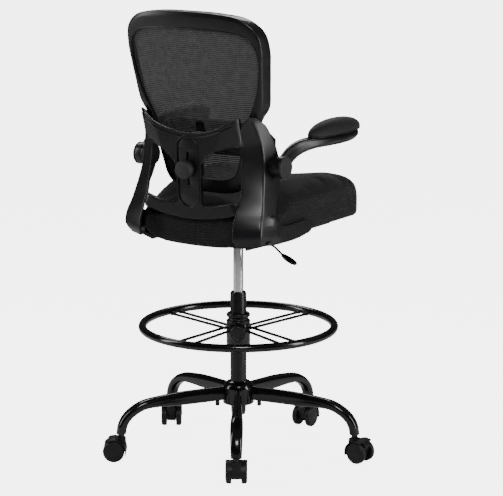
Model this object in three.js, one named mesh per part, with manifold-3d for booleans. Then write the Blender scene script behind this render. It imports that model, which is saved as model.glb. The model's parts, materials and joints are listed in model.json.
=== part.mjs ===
// Drafting chair with a mesh back, flip-up arms, a foot ring and a five-star base on twin-wheel casters.
// Millimetres, +Z up. The sitter faces -Y and the sitter's left is +X. The floor is z = 0.
// The chair is modelled about its column and then moved so that its footprint is centred on the origin.
import * as THREE from 'three';
import { mergeVertices } from 'three/addons/utils/BufferGeometryUtils.js';
import Module from 'manifold-3d';

const wasm = await Module();
wasm.setup();

// ---- driving dimensions ----
const gap = 0.3;                    // clearance between neighbouring pieces
const baseYaw = THREE.MathUtils.degToRad(122);   // heading of the first leg at rest
const legCount = 5;
const casterCircle = 338;           // radius of the caster stems about the column
const wheelRadius = 30;
const wheelWidth = 16;
const wheelSpacing = 26;            // between the two wheels of a caster
const casterTrail = 20;             // axle behind the stem
const legEndZ = 76;
const hoodTopZ = 66;
const stemRadius = 5.5;
const stemTopZ = legEndZ + 32;
const hubRadius = 43;
const hubBottomZ = 138;
const tubeRadius = 22.5;
const tubeTopZ = 451;
const tubeFootZ = 106;
const rodRadius = 14;
const ringRadius = 266;
const ringTube = 11;
const ringZ = 358;
const sleeveRadius = 33;
const seatHalfWidth = 212;
const seatRearY = 222;
const seatFrontY = -322;
const pivotY = 132;                 // arm pivot axis, parallel to X
const pivotZ = 841;
const armPlane = 222;               // arm hub, distance from the middle
const padPlane = 246.5;             // arm pad, distance from the middle
const padMiddleY = -98;
const padHalfLength = 126;
const padHalfWidth = 35;
const padBottomZ = 907.5;
const padCrown = 35;
const leverPivot = [-50, -20, 594];
const lumbarZ = 905;
const knobZ = 834;

const chair = new THREE.Group();

// ---- materials ----
function finish(color, roughness, metalness) {
  return new THREE.MeshStandardMaterial({ color, roughness, metalness });
}

const materials = {
  nylon: finish(0x1d1e22, 0.42, 0),
  gloss: finish(0x101114, 0.22, 0.1),
  wheel: finish(0x17181b, 0.5, 0),
  steel: finish(0x8d9095, 0.35, 1),
  chrome: finish(0xdfe2e6, 0.08, 1),
  fabric: finish(0x16171a, 0.95, 0),
  mesh: finish(0x2a2b2e, 0.9, 0),
  pad: finish(0x141417, 0.6, 0),
};

function add(name, geometry, material) {
  const mesh = new THREE.Mesh(geometry, material);
  mesh.name = name;
  chair.add(mesh);
}

// ---- solid helpers ----
function toSolid(geometry) {
  const bare = new THREE.BufferGeometry();
  bare.setAttribute('position', geometry.getAttribute('position').clone());
  if (geometry.index) bare.setIndex(geometry.index.clone());
  const merged = mergeVertices(bare, 1e-4);
  return new wasm.Manifold(new wasm.Mesh({
    numProp: 3,
    vertProperties: new Float32Array(merged.getAttribute('position').array),
    triVerts: new Uint32Array(merged.index.array),
  }));
}

function toGeometry(solid) {
  const mesh = solid.getMesh();
  const geometry = new THREE.BufferGeometry();
  geometry.setAttribute('position', new THREE.BufferAttribute(new Float32Array(mesh.vertProperties), 3));
  geometry.setIndex(new THREE.BufferAttribute(new Uint32Array(mesh.triVerts), 1));
  return geometry;
}

const join = (...pieces) => toGeometry(pieces.map(toSolid).reduce((a, b) => a.add(b)));
function cut(piece, ...tools) {
  return toGeometry(tools.map(toSolid).reduce((solid, tool) => solid.subtract(tool), toSolid(piece)));
}

// Joins rings of points, all with the same count, into a closed skin. A loop of rings has no ends.
function loft(rings, loop = false) {
  const sides = rings[0].length;
  const positions = rings.flat().flatMap((p) => [p.x, p.y, p.z]);
  const indices = [];
  const spans = loop ? rings.length : rings.length - 1;
  for (let i = 0; i < spans; i++) {
    for (let j = 0; j < sides; j++) {
      const a = i * sides + j;
      const b = i * sides + (j + 1) % sides;
      const c = ((i + 1) % rings.length) * sides + j;
      const d = ((i + 1) % rings.length) * sides + (j + 1) % sides;
      indices.push(a, b, d, a, d, c);
    }
  }
  if (!loop) {
    const last = (rings.length - 1) * sides;
    for (let j = 1; j < sides - 1; j++) {
      indices.push(0, j + 1, j, last, last + j, last + j + 1);
    }
  }
  const geometry = new THREE.BufferGeometry();
  geometry.setAttribute('position', new THREE.Float32BufferAttribute(positions, 3));
  geometry.setIndex(indices);
  return facingOut(geometry);
}

// Turns the triangles round if the skin's signed volume is negative.
function facingOut(geometry) {
  const p = geometry.getAttribute('position');
  const index = geometry.index.array;
  const corner = (k) => new THREE.Vector3().fromBufferAttribute(p, index[k]);
  let volume = 0;
  for (let k = 0; k < index.length; k += 3) {
    volume += corner(k).dot(corner(k + 1).cross(corner(k + 2)));
  }
  if (volume < 0) {
    for (let k = 0; k < index.length; k += 3) {
      [index[k + 1], index[k + 2]] = [index[k + 2], index[k + 1]];
    }
  }
  return geometry;
}

const vec = (x, y, z) => new THREE.Vector3(x, y, z);
const mirror = (geometry) => facingOut(geometry.clone().scale(-1, 1, 1));
const mix = (a, b, t) => a + (b - a) * t;

function block(x0, x1, y0, y1, z0, z1) {
  return new THREE.BoxGeometry(x1 - x0, y1 - y0, z1 - z0)
    .translate((x0 + x1) / 2, (y0 + y1) / 2, (z0 + z1) / 2);
}

function bar(radius, from, to, sides = 12, endRadius = radius) {
  const axis = to.clone().sub(from);
  const turn = new THREE.Quaternion().setFromUnitVectors(vec(0, 1, 0), axis.clone().normalize());
  return new THREE.CylinderGeometry(endRadius, radius, axis.length(), sides)
    .applyQuaternion(turn)
    .translate((from.x + to.x) / 2, (from.y + to.y) / 2, (from.z + to.z) / 2);
}

// Turns a profile of [radius, height] pairs about Z.
function turned(profile, sides = 24) {
  const points = profile.map(([r, z]) => new THREE.Vector2(r, z));
  return new THREE.LatheGeometry(points, sides).rotateX(Math.PI / 2);
}

// An extruded outline. The outline's first axis is Y, its second Z, and it is pushed along X.
function plateYZ(points, x0, x1) {
  const shape = new THREE.Shape(points.map(([y, z]) => new THREE.Vector2(y, z)));
  return new THREE.ExtrudeGeometry(shape, { depth: x1 - x0, bevelEnabled: false })
    .rotateX(Math.PI / 2)
    .rotateZ(Math.PI / 2)
    .translate(x0, 0, 0);
}

// A value on a broken line: stops are [position, value] pairs in rising order.
function onLine(stops, at) {
  const last = stops.length - 1;
  const next = stops.findIndex((stop) => stop[0] > at);
  const i = next < 0 ? last - 1 : Math.max(0, next - 1);
  const [[p, v], [q, w]] = [stops[i], stops[i + 1]];
  return mix(v, w, (at - p) / (q - p));
}

// ---- base ----
// Along a leg: distance out, centre height, half width, half height, lean of the section from upright.
const legStations = [
  [43.6, 168, 10, 20, 0], [110, 165, 11, 20, 2], [175, 162, 13, 19, 4], [230, 158.5, 15, 15.5, 8],
  [270, 153, 17, 13.5, 18], [300, 139, 17.5, 13, 42], [322, 120, 17, 13, 62], [334, 98, 16, 13, 80],
  [338, legEndZ, 15, 13, 90],
];
const sectionSides = 8;

// A rounded section: half width across, half height along the direction given.
function ovalRing(centre, across, upward, halfWidth, halfHeight, sides, power = 0.7) {
  const ring = [];
  for (let j = 0; j < sides; j++) {
    const a = (j + 0.5) * 2 * Math.PI / sides;
    const u = Math.sign(Math.cos(a)) * Math.abs(Math.cos(a)) ** power * halfWidth;
    const v = Math.sign(Math.sin(a)) * Math.abs(Math.sin(a)) ** power * halfHeight;
    ring.push(centre.clone().addScaledVector(across, u).addScaledVector(upward, v));
  }
  return ring;
}

function legGeometry() {
  const rings = legStations.map(([r, z, halfWidth, halfHeight, lean]) => {
    const a = THREE.MathUtils.degToRad(lean);
    const upward = vec(Math.sin(a), 0, Math.cos(a));
    return ovalRing(vec(r, 0, z), vec(0, 1, 0), upward, halfWidth, halfHeight, sectionSides);
  });
  const socket = bar(stemRadius + gap, vec(casterCircle, 0, legEndZ - 5), vec(casterCircle, 0, legEndZ + 34));
  return cut(loft(rings), socket);
}

function hubGeometry() {
  const bore = tubeRadius + gap;
  return turned([
    [bore, hubBottomZ], [hubRadius - 3, hubBottomZ], [hubRadius, hubBottomZ + 3], [hubRadius, 184],
    [hubRadius - 4, 192], [31, 199], [bore + 2.5, 203], [bore, 203], [bore, hubBottomZ],
  ], 20);
}

// One caster, its stem on the Z axis and its axle parallel to Y, trailing along +X.
function stemGeometry() {
  return turned([
    [0, 46], [stemRadius, 46], [stemRadius, hoodTopZ + gap], [9, hoodTopZ + gap], [9, legEndZ - gap],
    [stemRadius, legEndZ - gap], [stemRadius, stemTopZ], [0, stemTopZ],
  ], 10);
}

function hoodGeometry() {
  const half = wheelSpacing / 2 - 0.6;
  const reach = wheelRadius + 1.5;
  const outer = wheelRadius + 4.5;
  const arc = (radius, from, to, steps) => Array.from({ length: steps + 1 }, (_, i) => {
    const a = THREE.MathUtils.degToRad(mix(from, to, i / steps));
    return [casterTrail + radius * Math.cos(a), wheelRadius + radius * Math.sin(a)];
  });
  const side = (points, width) => {
    const shape = new THREE.Shape(points.map(([x, z]) => new THREE.Vector2(x, z)));
    return new THREE.ExtrudeGeometry(shape, { depth: width, bevelEnabled: false })
      .rotateX(Math.PI / 2)
      .translate(0, width / 2, 0);
  };
  const neck = [[-13, 44], [-12, hoodTopZ], [14, hoodTopZ]];
  const webOutline = [...neck, ...arc(outer, 96, 40, 3), ...arc(16, 0, -120, 4)];
  const web = side(webOutline, 2 * half);
  const fender = side([...arc(outer, 60, 196, 8), ...arc(reach, 196, 60, 8)], wheelSpacing + 2 * wheelWidth);
  const boss = turned([[0, 40], [13, 40], [13, hoodTopZ], [0, hoodTopZ]], 12);
  const body = join(web, fender, boss);
  const stemHole = bar(stemRadius + gap, vec(0, 0, 45.5), vec(0, 0, hoodTopZ + 2), 10);
  const axleHole = bar(3.3, vec(casterTrail, -40, wheelRadius), vec(casterTrail, 40, wheelRadius), 8);
  return cut(body, stemHole, axleHole);
}

function axleGeometry() {
  const reach = wheelSpacing / 2 + wheelWidth - 3;
  return bar(3, vec(casterTrail, -reach, wheelRadius), vec(casterTrail, reach, wheelRadius), 8);
}

// A wheel whose flats touch the floor: the polygon's flats are wheelRadius from the axle.
function wheelGeometry(side) {
  const sides = 18;
  const corner = wheelRadius / Math.cos(Math.PI / sides);
  const inner = wheelSpacing / 2;
  const outer = inner + wheelWidth;
  const profile = [
    [3.3, inner + 0.6], [corner, inner + 0.6], [corner, outer - 3], [corner - 4, outer], [0, outer],
    [0, outer - 2.5], [3.3, outer - 2.5], [3.3, inner + 0.6],
  ];
  const points = profile.map(([r, y]) => new THREE.Vector2(r, y));
  const wheel = new THREE.LatheGeometry(points, sides).rotateY(Math.PI / sides);
  if (side < 0) wheel.rotateZ(Math.PI);
  return wheel.translate(casterTrail, 0, wheelRadius);
}

// Where each caster trails at rest, in degrees from straight along its own leg outwards.
const trailTurn = [180, -19, -174, 144, -18];

function buildBase() {
  add('base_hub', hubGeometry(), materials.gloss);
  const leg = legGeometry();
  for (let k = 0; k < legCount; k++) {
    const heading = baseYaw + k * 2 * Math.PI / legCount;
    const n = k + 1;
    add(`base_leg_${n}`, leg.clone().rotateZ(heading), materials.gloss);
    const stemX = casterCircle * Math.cos(heading);
    const stemY = casterCircle * Math.sin(heading);
    const trail = heading + THREE.MathUtils.degToRad(trailTurn[k]);
    const place = (geometry) => geometry.rotateZ(trail).translate(stemX, stemY, 0);
    add(`caster_stem_${n}`, place(stemGeometry()), materials.steel);
    add(`caster_hood_${n}`, place(hoodGeometry()), materials.nylon);
    add(`caster_axle_${n}`, place(axleGeometry()), materials.steel);
    add(`caster_wheel_left_${n}`, place(wheelGeometry(1)), materials.wheel);
    add(`caster_wheel_right_${n}`, place(wheelGeometry(-1)), materials.wheel);
  }
}

// ---- gas lift ----
const rodTopZ = 592;
const rodBottomZ = 262;

function buildLift() {
  add('lift_tube', turned([
    [0, tubeFootZ], [19, tubeFootZ], [tubeRadius, hubBottomZ + 4], [tubeRadius, tubeTopZ],
    [tubeRadius - 2, tubeTopZ], [tubeRadius - 2, tubeFootZ + 6], [0, tubeFootZ + 6],
  ], 24), materials.nylon);
  add('lift_bush', turned([
    [rodRadius + gap, tubeTopZ - 60], [tubeRadius - 2 - gap, tubeTopZ - 60], [tubeRadius - 2 - gap, tubeTopZ + gap],
    [tubeRadius - 1, tubeTopZ + gap], [tubeRadius - 2, tubeTopZ + 4], [rodRadius + gap, tubeTopZ + 4],
    [rodRadius + gap, tubeTopZ - 60],
  ], 24), materials.nylon);
  add('lift_rod', turned([
    [0, rodBottomZ], [rodRadius - 1, rodBottomZ], [rodRadius, rodBottomZ + 1], [rodRadius, rodTopZ - 8],
    [rodRadius - 2, rodTopZ], [0, rodTopZ],
  ], 24), materials.chrome);
}

// ---- foot ring ----
const sleeveBottomZ = 296;
const sleeveTopZ = 366;
const collarTopZ = 396;
const spokeRadius = 3.8;
const spokeZ = ringZ - 6.5;
const knobScrewZ = 347;
// Start and end of each spoke on one side, seen from above with the clamp knob towards +X.
const spokeEnds = [
  [[24, 15], [224, 140]], [[-6, 34.5], [193, 181]], [[-19, 18], [-199, 173]], [[6, 34.5], [-176, 196]],
];

// Rods from beside the sleeve to the underside of the ring, mirrored for the other side.
function spokeGeometries() {
  const spokes = [];
  for (const side of [-1, 1]) {
    for (const [start, end] of spokeEnds) {
      const near = vec(start[0], side * start[1], spokeZ);
      const far = vec(end[0], side * end[1], spokeZ);
      spokes.push(bar(spokeRadius, near, far, 8));
    }
  }
  return spokes;
}

function buildFootRing() {
  const ring = new THREE.TorusGeometry(ringRadius, ringTube, 8, 40).translate(0, 0, ringZ);
  const sleeve = turned([
    [tubeRadius + gap, sleeveBottomZ], [sleeveRadius - 2, sleeveBottomZ], [sleeveRadius, sleeveBottomZ + 2],
    [sleeveRadius, sleeveTopZ], [tubeRadius + gap, sleeveTopZ], [tubeRadius + gap, sleeveBottomZ],
  ], 24);
  const screwHole = bar(4.4, vec(tubeRadius - 3, 0, knobScrewZ), vec(sleeveRadius + 5, 0, knobScrewZ), 12);
  add('foot_ring', cut(join(ring, sleeve, ...spokeGeometries()), screwHole).rotateZ(baseYaw), materials.gloss);
  add('foot_ring_collar', turned([
    [tubeRadius + gap, sleeveTopZ + gap], [sleeveRadius, sleeveTopZ + gap], [sleeveRadius, sleeveTopZ + 8],
    [sleeveRadius - 5, sleeveTopZ + 12], [sleeveRadius - 5, sleeveTopZ + 16], [sleeveRadius - 1, sleeveTopZ + 20],
    [sleeveRadius - 1, collarTopZ - 3], [sleeveRadius - 4, collarTopZ], [tubeRadius + 2, collarTopZ - 2],
    [tubeRadius + gap, sleeveTopZ + 14], [tubeRadius + gap, sleeveTopZ + gap],
  ], 24), materials.nylon);
  const knob = new THREE.LatheGeometry([
    [0, tubeRadius + 1], [4, tubeRadius + 1], [4, sleeveRadius + 1], [11, sleeveRadius + 1], [11, sleeveRadius + 9],
    [21, sleeveRadius + 13], [23, sleeveRadius + 17], [23, sleeveRadius + 26], [19, sleeveRadius + 30],
    [0, sleeveRadius + 32],
  ].map(([r, y]) => new THREE.Vector2(r, y)), 24);
  add('foot_ring_knob', knob.rotateZ(-Math.PI / 2).translate(0, 0, knobScrewZ).rotateZ(baseYaw), materials.nylon);
}

// ---- seat ----
// The seat's plan outline, drawn in by an inset: a rounded rectangle with a slightly bowed front.
const seatRearCorner = 112;
const seatFrontCorner = 46;
const seatBow = 6;
const cornerSteps = 6;
function seatOutline(inset) {
  const points = [];
  const corners = [
    [1, 1, seatRearCorner], [-1, 1, seatRearCorner], [-1, -1, seatFrontCorner], [1, -1, seatFrontCorner],
  ];
  for (const [sx, sy, corner] of corners) {
    const radius = Math.max(12, corner - inset);
    const cx = sx * (seatHalfWidth - inset - radius);
    const cy = (sy > 0 ? seatRearY - inset : seatFrontY + inset) - sy * radius;
    for (let i = 0; i <= cornerSteps; i++) {
      const step = sx * sy > 0 ? i : cornerSteps - i;
      const a = step / cornerSteps * Math.PI / 2;
      points.push([cx + sx * radius * Math.cos(a), cy + sy * radius * Math.sin(a)]);
    }
    if (sy < 0 && sx < 0) points.push([0, seatFrontY + inset - seatBow]);
  }
  return points;
}

// Underside and top of the cushion: low in the middle below, dished between bolsters above.
const cushionUnder = (x) => 618 + 29 * (Math.abs(x) / seatHalfWidth) ** 2.2;
function seatTop(x, y) {
  const fall = y > -60 ? 0.00035 : 0.00042;
  const across = (x / seatHalfWidth) ** 2;
  const bolster = 26 * THREE.MathUtils.clamp(mix(0.15, 1, (60 - y) / 200), 0.15, 1);
  const rearDrop = 45 * THREE.MathUtils.smoothstep(y, 30, 150);
  const waterfall = 0.004 * Math.max(0, -240 - y) ** 2;
  return 764 - fall * (y + 60) ** 2 - waterfall + (bolster - rearDrop) * across;
}

function cushionGeometry() {
  const rings = [];
  // How far each level draws in from the outline, and its share of the height.
  const layers = [
    [16, 0], [3, 0.04], [0, 0.18], [0, 0.6], [3, 0.76], [11, 0.88], [27, 0.955], [56, 0.99], [100, 1], [150, 1],
  ];
  for (const [inset, rise] of layers) {
    rings.push(seatOutline(inset).map(([x, y]) => vec(x, y, mix(cushionUnder(x), seatTop(x, y), rise))));
  }
  return loft(rings);
}

const panThickness = 8;
function panGeometry() {
  const outline = seatOutline(62).map(([x, y]) => [x * 0.95, y]);
  const under = outline.map(([x, y]) => vec(x, y, cushionUnder(x) - panThickness - 1));
  const over = outline.map(([x, y]) => vec(x, y, cushionUnder(x) - 1));
  return loft([under, over]);
}

function buildSeat() {
  add('seat_cushion', cushionGeometry(), materials.fabric);
  add('seat_pan', panGeometry(), materials.nylon);
  const plate = block(-85, 85, -100, 95, 603, 608);
  const housing = block(-48, 48, -80, 30, 584, 603.5);
  const socket = bar(rodRadius + gap, vec(0, 0, 560), vec(0, 0, rodTopZ + gap), 24);
  const leverHole = block(-60, -38, leverPivot[1] - 8, leverPivot[1] + 8, leverPivot[2] - 6, leverPivot[2] + 6);
  add('seat_mechanism', cut(join(plate, housing), socket, leverHole), materials.steel);
}

// ---- height lever ----
function buildLever() {
  const [px, py, pz] = leverPivot;
  const path = [vec(px + 10, py, pz), vec(px - 40, py, pz), vec(px - 54, py, pz - 5), vec(px - 81, py, pz - 25)];
  const curve = new THREE.CatmullRomCurve3(path, false, 'catmullrom', 0.2);
  const section = new THREE.Shape().absarc(0, 0, 3, 0, 2 * Math.PI);
  const rod = new THREE.ExtrudeGeometry(section, { extrudePath: curve, steps: 12, curveSegments: 4 });
  add('lever_rod', rod, materials.steel);
  const sections = [[0, 5, 5], [9, 9, 6.5], [22, 13, 6], [37, 13, 5], [45, 8, 4]];
  const rings = sections.map(([out, halfWidth, halfHeight]) => {
    const along = vec(-0.9, 0, -0.436);
    const centre = vec(px - 82, py, pz - 26).addScaledVector(along, out);
    return ovalRing(centre, vec(0, 1, 0), vec(-0.436, 0, 0.9), halfWidth, halfHeight, 10);
  });
  add('lever_grip', loft(rings), materials.nylon);
}

// ---- mesh back ----
// The back's rear surface leans back from the seat upwards and wraps forward at the sides.
const backY = (x, z) => 176 + 0.21 * (z - 840) - 24 * (x / 210) ** 2;

// One side of the frame's outer and inner edges from the top middle to the bottom middle, as x and z.
const outerHalf = [
  [0, 1252], [95, 1249], [165, 1236], [203, 1203], [212, 1155], [208, 1108], [202, 1056], [194, 1002],
  [176, 970], [160, 930], [147, 885], [138, 840], [124, 790], [90, 764], [0, 758],
];
const innerHalf = [
  [0, 1205], [95, 1202], [162, 1192], [192, 1166], [200, 1132], [197, 1091], [187, 1046], [171, 1006],
  [154, 970], [137, 930], [124, 885], [112, 845], [96, 812], [66, 799], [0, 797],
];

function loopFrom(half, count) {
  const left = half.slice(1, -1).reverse().map(([x, z]) => [-x, z]);
  const points = [...half, ...left].map(([x, z]) => vec(x, 0, z));
  return new THREE.CatmullRomCurve3(points, true, 'centripetal').getPoints(count).slice(0, count);
}

const frameSteps = 40;
const frameDepth = (z) => THREE.MathUtils.clamp(mix(16, 42, (z - 880) / 120), 16, 42);

function frameGeometry() {
  const outer = loopFrom(outerHalf, frameSteps);
  const inner = loopFrom(innerHalf, frameSteps);
  const rings = outer.map((o, i) => {
    const n = inner[i];
    const at = (t, back) => {
      const x = mix(o.x, n.x, t);
      const z = mix(o.z, n.z, t);
      return vec(x, backY(x, z) - back, z);
    };
    const flare = 1 + 4 / 210;
    const front = at(0, frameDepth(o.z));
    front.x *= flare;
    return [at(0, 3), at(0.25, 0), at(1, 0), at(1, 14), at(0.55, Math.min(20, frameDepth(o.z))), front];
  });
  return loft(rings, true);
}

// The stretched mesh: a thin sheet just inside the frame's opening, with a slot for the lumbar carrier.
const meshSlot = { halfWidth: 14, low: 856, high: 954 };

function meshGeometry() {
  const edge = loopFrom(innerHalf, frameSteps);
  const middle = vec(0, 0, 1010);
  const ringAt = (t, back) => edge.map((p) => {
    const x = mix(middle.x, p.x * 0.994, t);
    const z = mix(middle.z, p.z + (p.z > 1010 ? -1 : 1), t);
    return vec(x, backY(x, z) - back, z);
  });
  const shares = [0.1, 0.55, 1];
  const rear = shares.map((t) => ringAt(t, 10));
  const front = [...shares].reverse().map((t) => ringAt(t, 12.5));
  const sheet = loft([...rear, ...front]);
  return cut(sheet, block(-meshSlot.halfWidth, meshSlot.halfWidth, 150, 260, meshSlot.low, meshSlot.high));
}

// ---- back bracket: the cross piece, centre bar and lower bar behind the mesh ----
// Its rear face is flat in the middle and slants forward towards the uprights.
const barY = (z) => mix(239, 251, (z - 740) / 190);
const flatHalfStops = [[690, 150], [735, 138], [800, 98], [880, 80], [965, 112], [990, 118]];
const flatHalf = (z) => onLine(flatHalfStops, z);
const slant = 0.62;
const bracketY = (x, z) => barY(z) - slant * Math.max(0, Math.abs(x) - flatHalf(z));
const bracketDepth = 11;

// A curved strip between two height functions of x.
function strip(halfWidth, lowAt, highAt, columns) {
  const rings = [];
  for (let i = 0; i <= columns; i++) {
    const x = mix(-halfWidth, halfWidth, i / columns);
    const low = lowAt(x);
    const high = highAt(x);
    const mid = (low + high) / 2;
    const corner = (z, back) => vec(x, bracketY(x, z) - back, z);
    rings.push([
      corner(low, bracketDepth), corner(low, 2), corner(low + 3, 0), corner(mid, 0),
      corner(high - 3, 0), corner(high, 2), corner(high, bracketDepth), corner(mid, bracketDepth),
    ]);
  }
  return loft(rings);
}

const topEdge = (x) => 932 + 43 * (Math.abs(x) / 146) ** 2.1;
const openingTop = (x) => onLine([[38, 848], [80, 884], [130, 900], [200, 900]], Math.max(38, Math.abs(x)));
const openingBottom = (x) => 734 + Math.max(0, Math.abs(x) - 60) * 0.22;
const lowerEdge = (x) => 698 + 20 * (Math.abs(x) / 140) ** 2;
const bracketHalf = 138.5;
const slot = { halfWidth: 4, low: 788, high: 880 };
const insert = { halfWidth: 32, low: 731, high: 922 };

function stadium(halfWidth, low, high) {
  const shape = new THREE.Shape();
  shape.absarc(0, high - halfWidth, halfWidth, 0, Math.PI);
  shape.absarc(0, low + halfWidth, halfWidth, Math.PI, 2 * Math.PI);
  return shape;
}

// A stadium outline pushed through the bar along Y, from y0 to y1.
function stadiumBlock(outline, y0, y1) {
  const shape = stadium(outline.halfWidth, outline.low, outline.high);
  return new THREE.ExtrudeGeometry(shape, { depth: y1 - y0, bevelEnabled: false, curveSegments: 6 })
    .rotateX(Math.PI / 2)
    .translate(0, y1, 0);
}

// Leans an upright piece to follow the centre bar's slope: its Y becomes the distance from the bar's rear face.
function leanWithBar(geometry) {
  const p = geometry.getAttribute('position');
  for (let i = 0; i < p.count; i++) {
    p.setY(i, p.getY(i) + barY(p.getZ(i)));
  }
  return geometry;
}

function bracketGeometry() {
  const cross = strip(bracketHalf, openingTop, topEdge, 20);
  const lower = strip(bracketHalf, lowerEdge, openingBottom, 16);
  const centre = strip(38.5, () => 716, () => 926, 6);
  const recess = leanWithBar(stadiumBlock(insert, -4, 20));
  const passage = leanWithBar(stadiumBlock(slot, -40, 20));
  return cut(join(cross, lower, centre), recess, passage);
}

function insertGeometry() {
  const inside = { halfWidth: insert.halfWidth - gap, low: insert.low + gap, high: insert.high - gap };
  const plate = leanWithBar(stadiumBlock(inside, -3.6, -1));
  return cut(plate, leanWithBar(stadiumBlock(slot, -40, 20)));
}

// ---- side brackets: uprights that carry the arms and run down to feet beside the seat ----
// Height, then x and y of the upright's rear inner edge, its rear outer edge and its front outer edge.
const uprightStations = [
  [640, 152, 248, 208, 216, 222, 160], [658, 147, 259, 217, 227, 228, 158], [680, 146, 257, 218, 227, 228, 158],
  [700, 145, 252, 216, 221, 226, 158], [726, 146, 241, 211, 207, 220, 151], [760, 146, 222, 205, 195, 213, 134],
  [804, 146, 212, 198, 181, 207, 114], [841, 143, 207, 194, 174, 203, 110], [868, 141, 204, 192, 173, 202, 112],
  [905, 139, 208, 187, 175, 199, 126], [930, 143, 216, 184, 184, 196, 142], [955, 152, 224, 181, 196, 192, 160],
  [977, 167, 216, 177, 209, 183, 194],
];
const uprightWall = 11;

function uprightGeometry() {
  const rings = uprightStations.map(([z, xi, yi, xo, yo, xf, yf]) => {
    const wall = Math.min(uprightWall, (xo - xi) * 0.6);
    const inner = vec(xo - wall * 0.9, yo - wall * 0.9, z);
    return [
      inner, vec(xi + wall * 0.3, yi - wall, z), vec(xi, yi - wall * 0.3, z), vec(xi + 3, yi, z),
      vec(xo - 3, yo + 1, z), vec(xo, yo - 4, z), vec(xf, yf + 3, z), vec(xf - 2, yf, z), vec(xf - wall, yf, z),
    ];
  });
  return loft(rings);
}

function sideBracketGeometry() {
  const footOutline = [
    [170, 640], [60, 638], [10, 644], [-11, 649], [-19, 660], [-17, 672], [-5, 680], [12, 682],
    [78, 681], [128, 682], [148, 692], [159, 712], [170, 716],
  ];
  const foot = plateYZ(footOutline, 217, 228);
  const under = (x) => cushionUnder(x) - 1.5;
  const tab = loft([-12, 60, 146].map((y) => [
    vec(160, y, under(160) - 11.5), vec(218, y, 640), vec(224, y, 640), vec(224, y, 650),
    vec(218, y, under(212)), vec(190, y, under(190)), vec(160, y, under(160)),
  ]));
  const boss = bar(28, vec(180, pivotY, pivotZ), vec(206, pivotY, pivotZ), 24);
  return join(uprightGeometry(), foot, tab, boss);
}

// ---- lumbar support ----
const lumbarWidth = 190;
const lumbarBackY = (x) => 170 - 56 * (x / lumbarWidth) ** 2;

function lumbarPadGeometry() {
  const rings = [];
  const columns = 16;
  for (let i = 0; i <= columns; i++) {
    const s = mix(-1, 1, i / columns);
    const x = s * (lumbarWidth - 8);
    const end = Math.sqrt(Math.max(0.12, 1 - Math.abs(s) ** 5));
    const centre = vec(x, lumbarBackY(x) - 17, lumbarZ + 5 - 9 * s * s);
    const slope = Math.atan2(112 * x / lumbarWidth ** 2, 1);
    const across = vec(Math.sin(slope), Math.cos(slope), 0);
    rings.push(ovalRing(centre, across, vec(0, 0, 1), 16 * end, 46 * end, 12, 0.8));
  }
  return loft(rings);
}

const knobStemRadius = 3.2;
function buildLumbar() {
  add('lumbar_pad', lumbarPadGeometry(), materials.pad);
  const plate = block(-26, 26, 208, 216, 812, 930);
  const neck = block(-10, 10, 175, 210, lumbarZ - 12, lumbarZ + 12);
  const nut = block(-9, 9, 212, 222, knobZ - 9, knobZ + 9);
  const stemHole = bar(knobStemRadius + gap, vec(0, 200, knobZ), vec(0, 240, knobZ), 12);
  add('lumbar_carrier', cut(join(plate, neck, nut), stemHole), materials.nylon);
  const base = barY(knobZ) + 0.6;
  const knob = new THREE.LatheGeometry([
    [0, 209], [knobStemRadius, 209], [knobStemRadius, base], [22, base], [22, base + 10],
    [25, base + 13], [25, base + 24], [22, base + 27], [0, base + 28],
  ].map(([r, y]) => new THREE.Vector2(r, y)), 24);
  add('lumbar_knob', knob.translate(0, 0, knobZ), materials.nylon);
}

// ---- arms ----
// Along an arm: y, z, distance out of its plane towards the pad, half width and half height.
const armStations = [
  [118, 852, 0, 9, 24], [96, 868, 1, 9.5, 22], [72, 880, 4, 11, 20], [42, 889, 11, 15, 17.5], [6, 892.5, 18, 22, 15],
  [-40, 892.5, 24, 27, 14.5], [-110, 891, 24, 29, 14], [-170, 892, 24, 24, 13], [-203, 896, 24, 15, 9],
  [-216, 899, 24, 6, 5],
];

function armGeometry() {
  const rings = armStations.map(([y, z, out, halfWidth, halfHeight], i) => {
    const next = armStations[Math.min(i + 1, armStations.length - 1)];
    const previous = armStations[Math.max(i - 1, 0)];
    const along = vec(0, next[0] - previous[0], next[1] - previous[1]).normalize();
    const up = vec(0, along.z, -along.y);
    return ovalRing(vec(armPlane + out, y, z), vec(1, 0, 0), up, halfWidth, halfHeight, 12, 0.75);
  });
  const hub = bar(30, vec(213.4, pivotY, pivotZ), vec(231.4, pivotY, pivotZ), 28);
  const pinHole = bar(7.4, vec(205, pivotY, pivotZ), vec(240, pivotY, pivotZ), 16);
  return cut(join(loft(rings), hub), pinHole);
}

// A crowned oval pad: flat below, domed above.
function armPadGeometry() {
  const steps = 26;
  const oval = (scale, z) => Array.from({ length: steps }, (_, i) => {
    const a = i * 2 * Math.PI / steps;
    return vec(padPlane + padHalfWidth * scale * Math.cos(a), padMiddleY + padHalfLength * scale * Math.sin(a), z);
  });
  const dome = [12, 32, 52, 74].map((degrees) => {
    const a = THREE.MathUtils.degToRad(degrees);
    return oval(Math.cos(a), padBottomZ + 5 + padCrown * Math.sin(a));
  });
  return loft([oval(0.94, padBottomZ), oval(1, padBottomZ + 4), ...dome]);
}

function pivotGeometry() {
  const collar = bar(29, vec(206.3, pivotY, pivotZ), vec(213, pivotY, pivotZ), 24);
  const pin = bar(7, vec(206.3, pivotY, pivotZ), vec(231, pivotY, pivotZ), 16);
  return join(collar, pin);
}

function capGeometry() {
  const profile = [[0, 231.8], [30, 231.8], [31, 233], [31, 236], [28, 238.5], [0, 239.5]];
  return new THREE.LatheGeometry(profile.map(([r, x]) => new THREE.Vector2(r, x)), 28)
    .rotateZ(-Math.PI / 2)
    .translate(0, pivotY, pivotZ);
}

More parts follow.
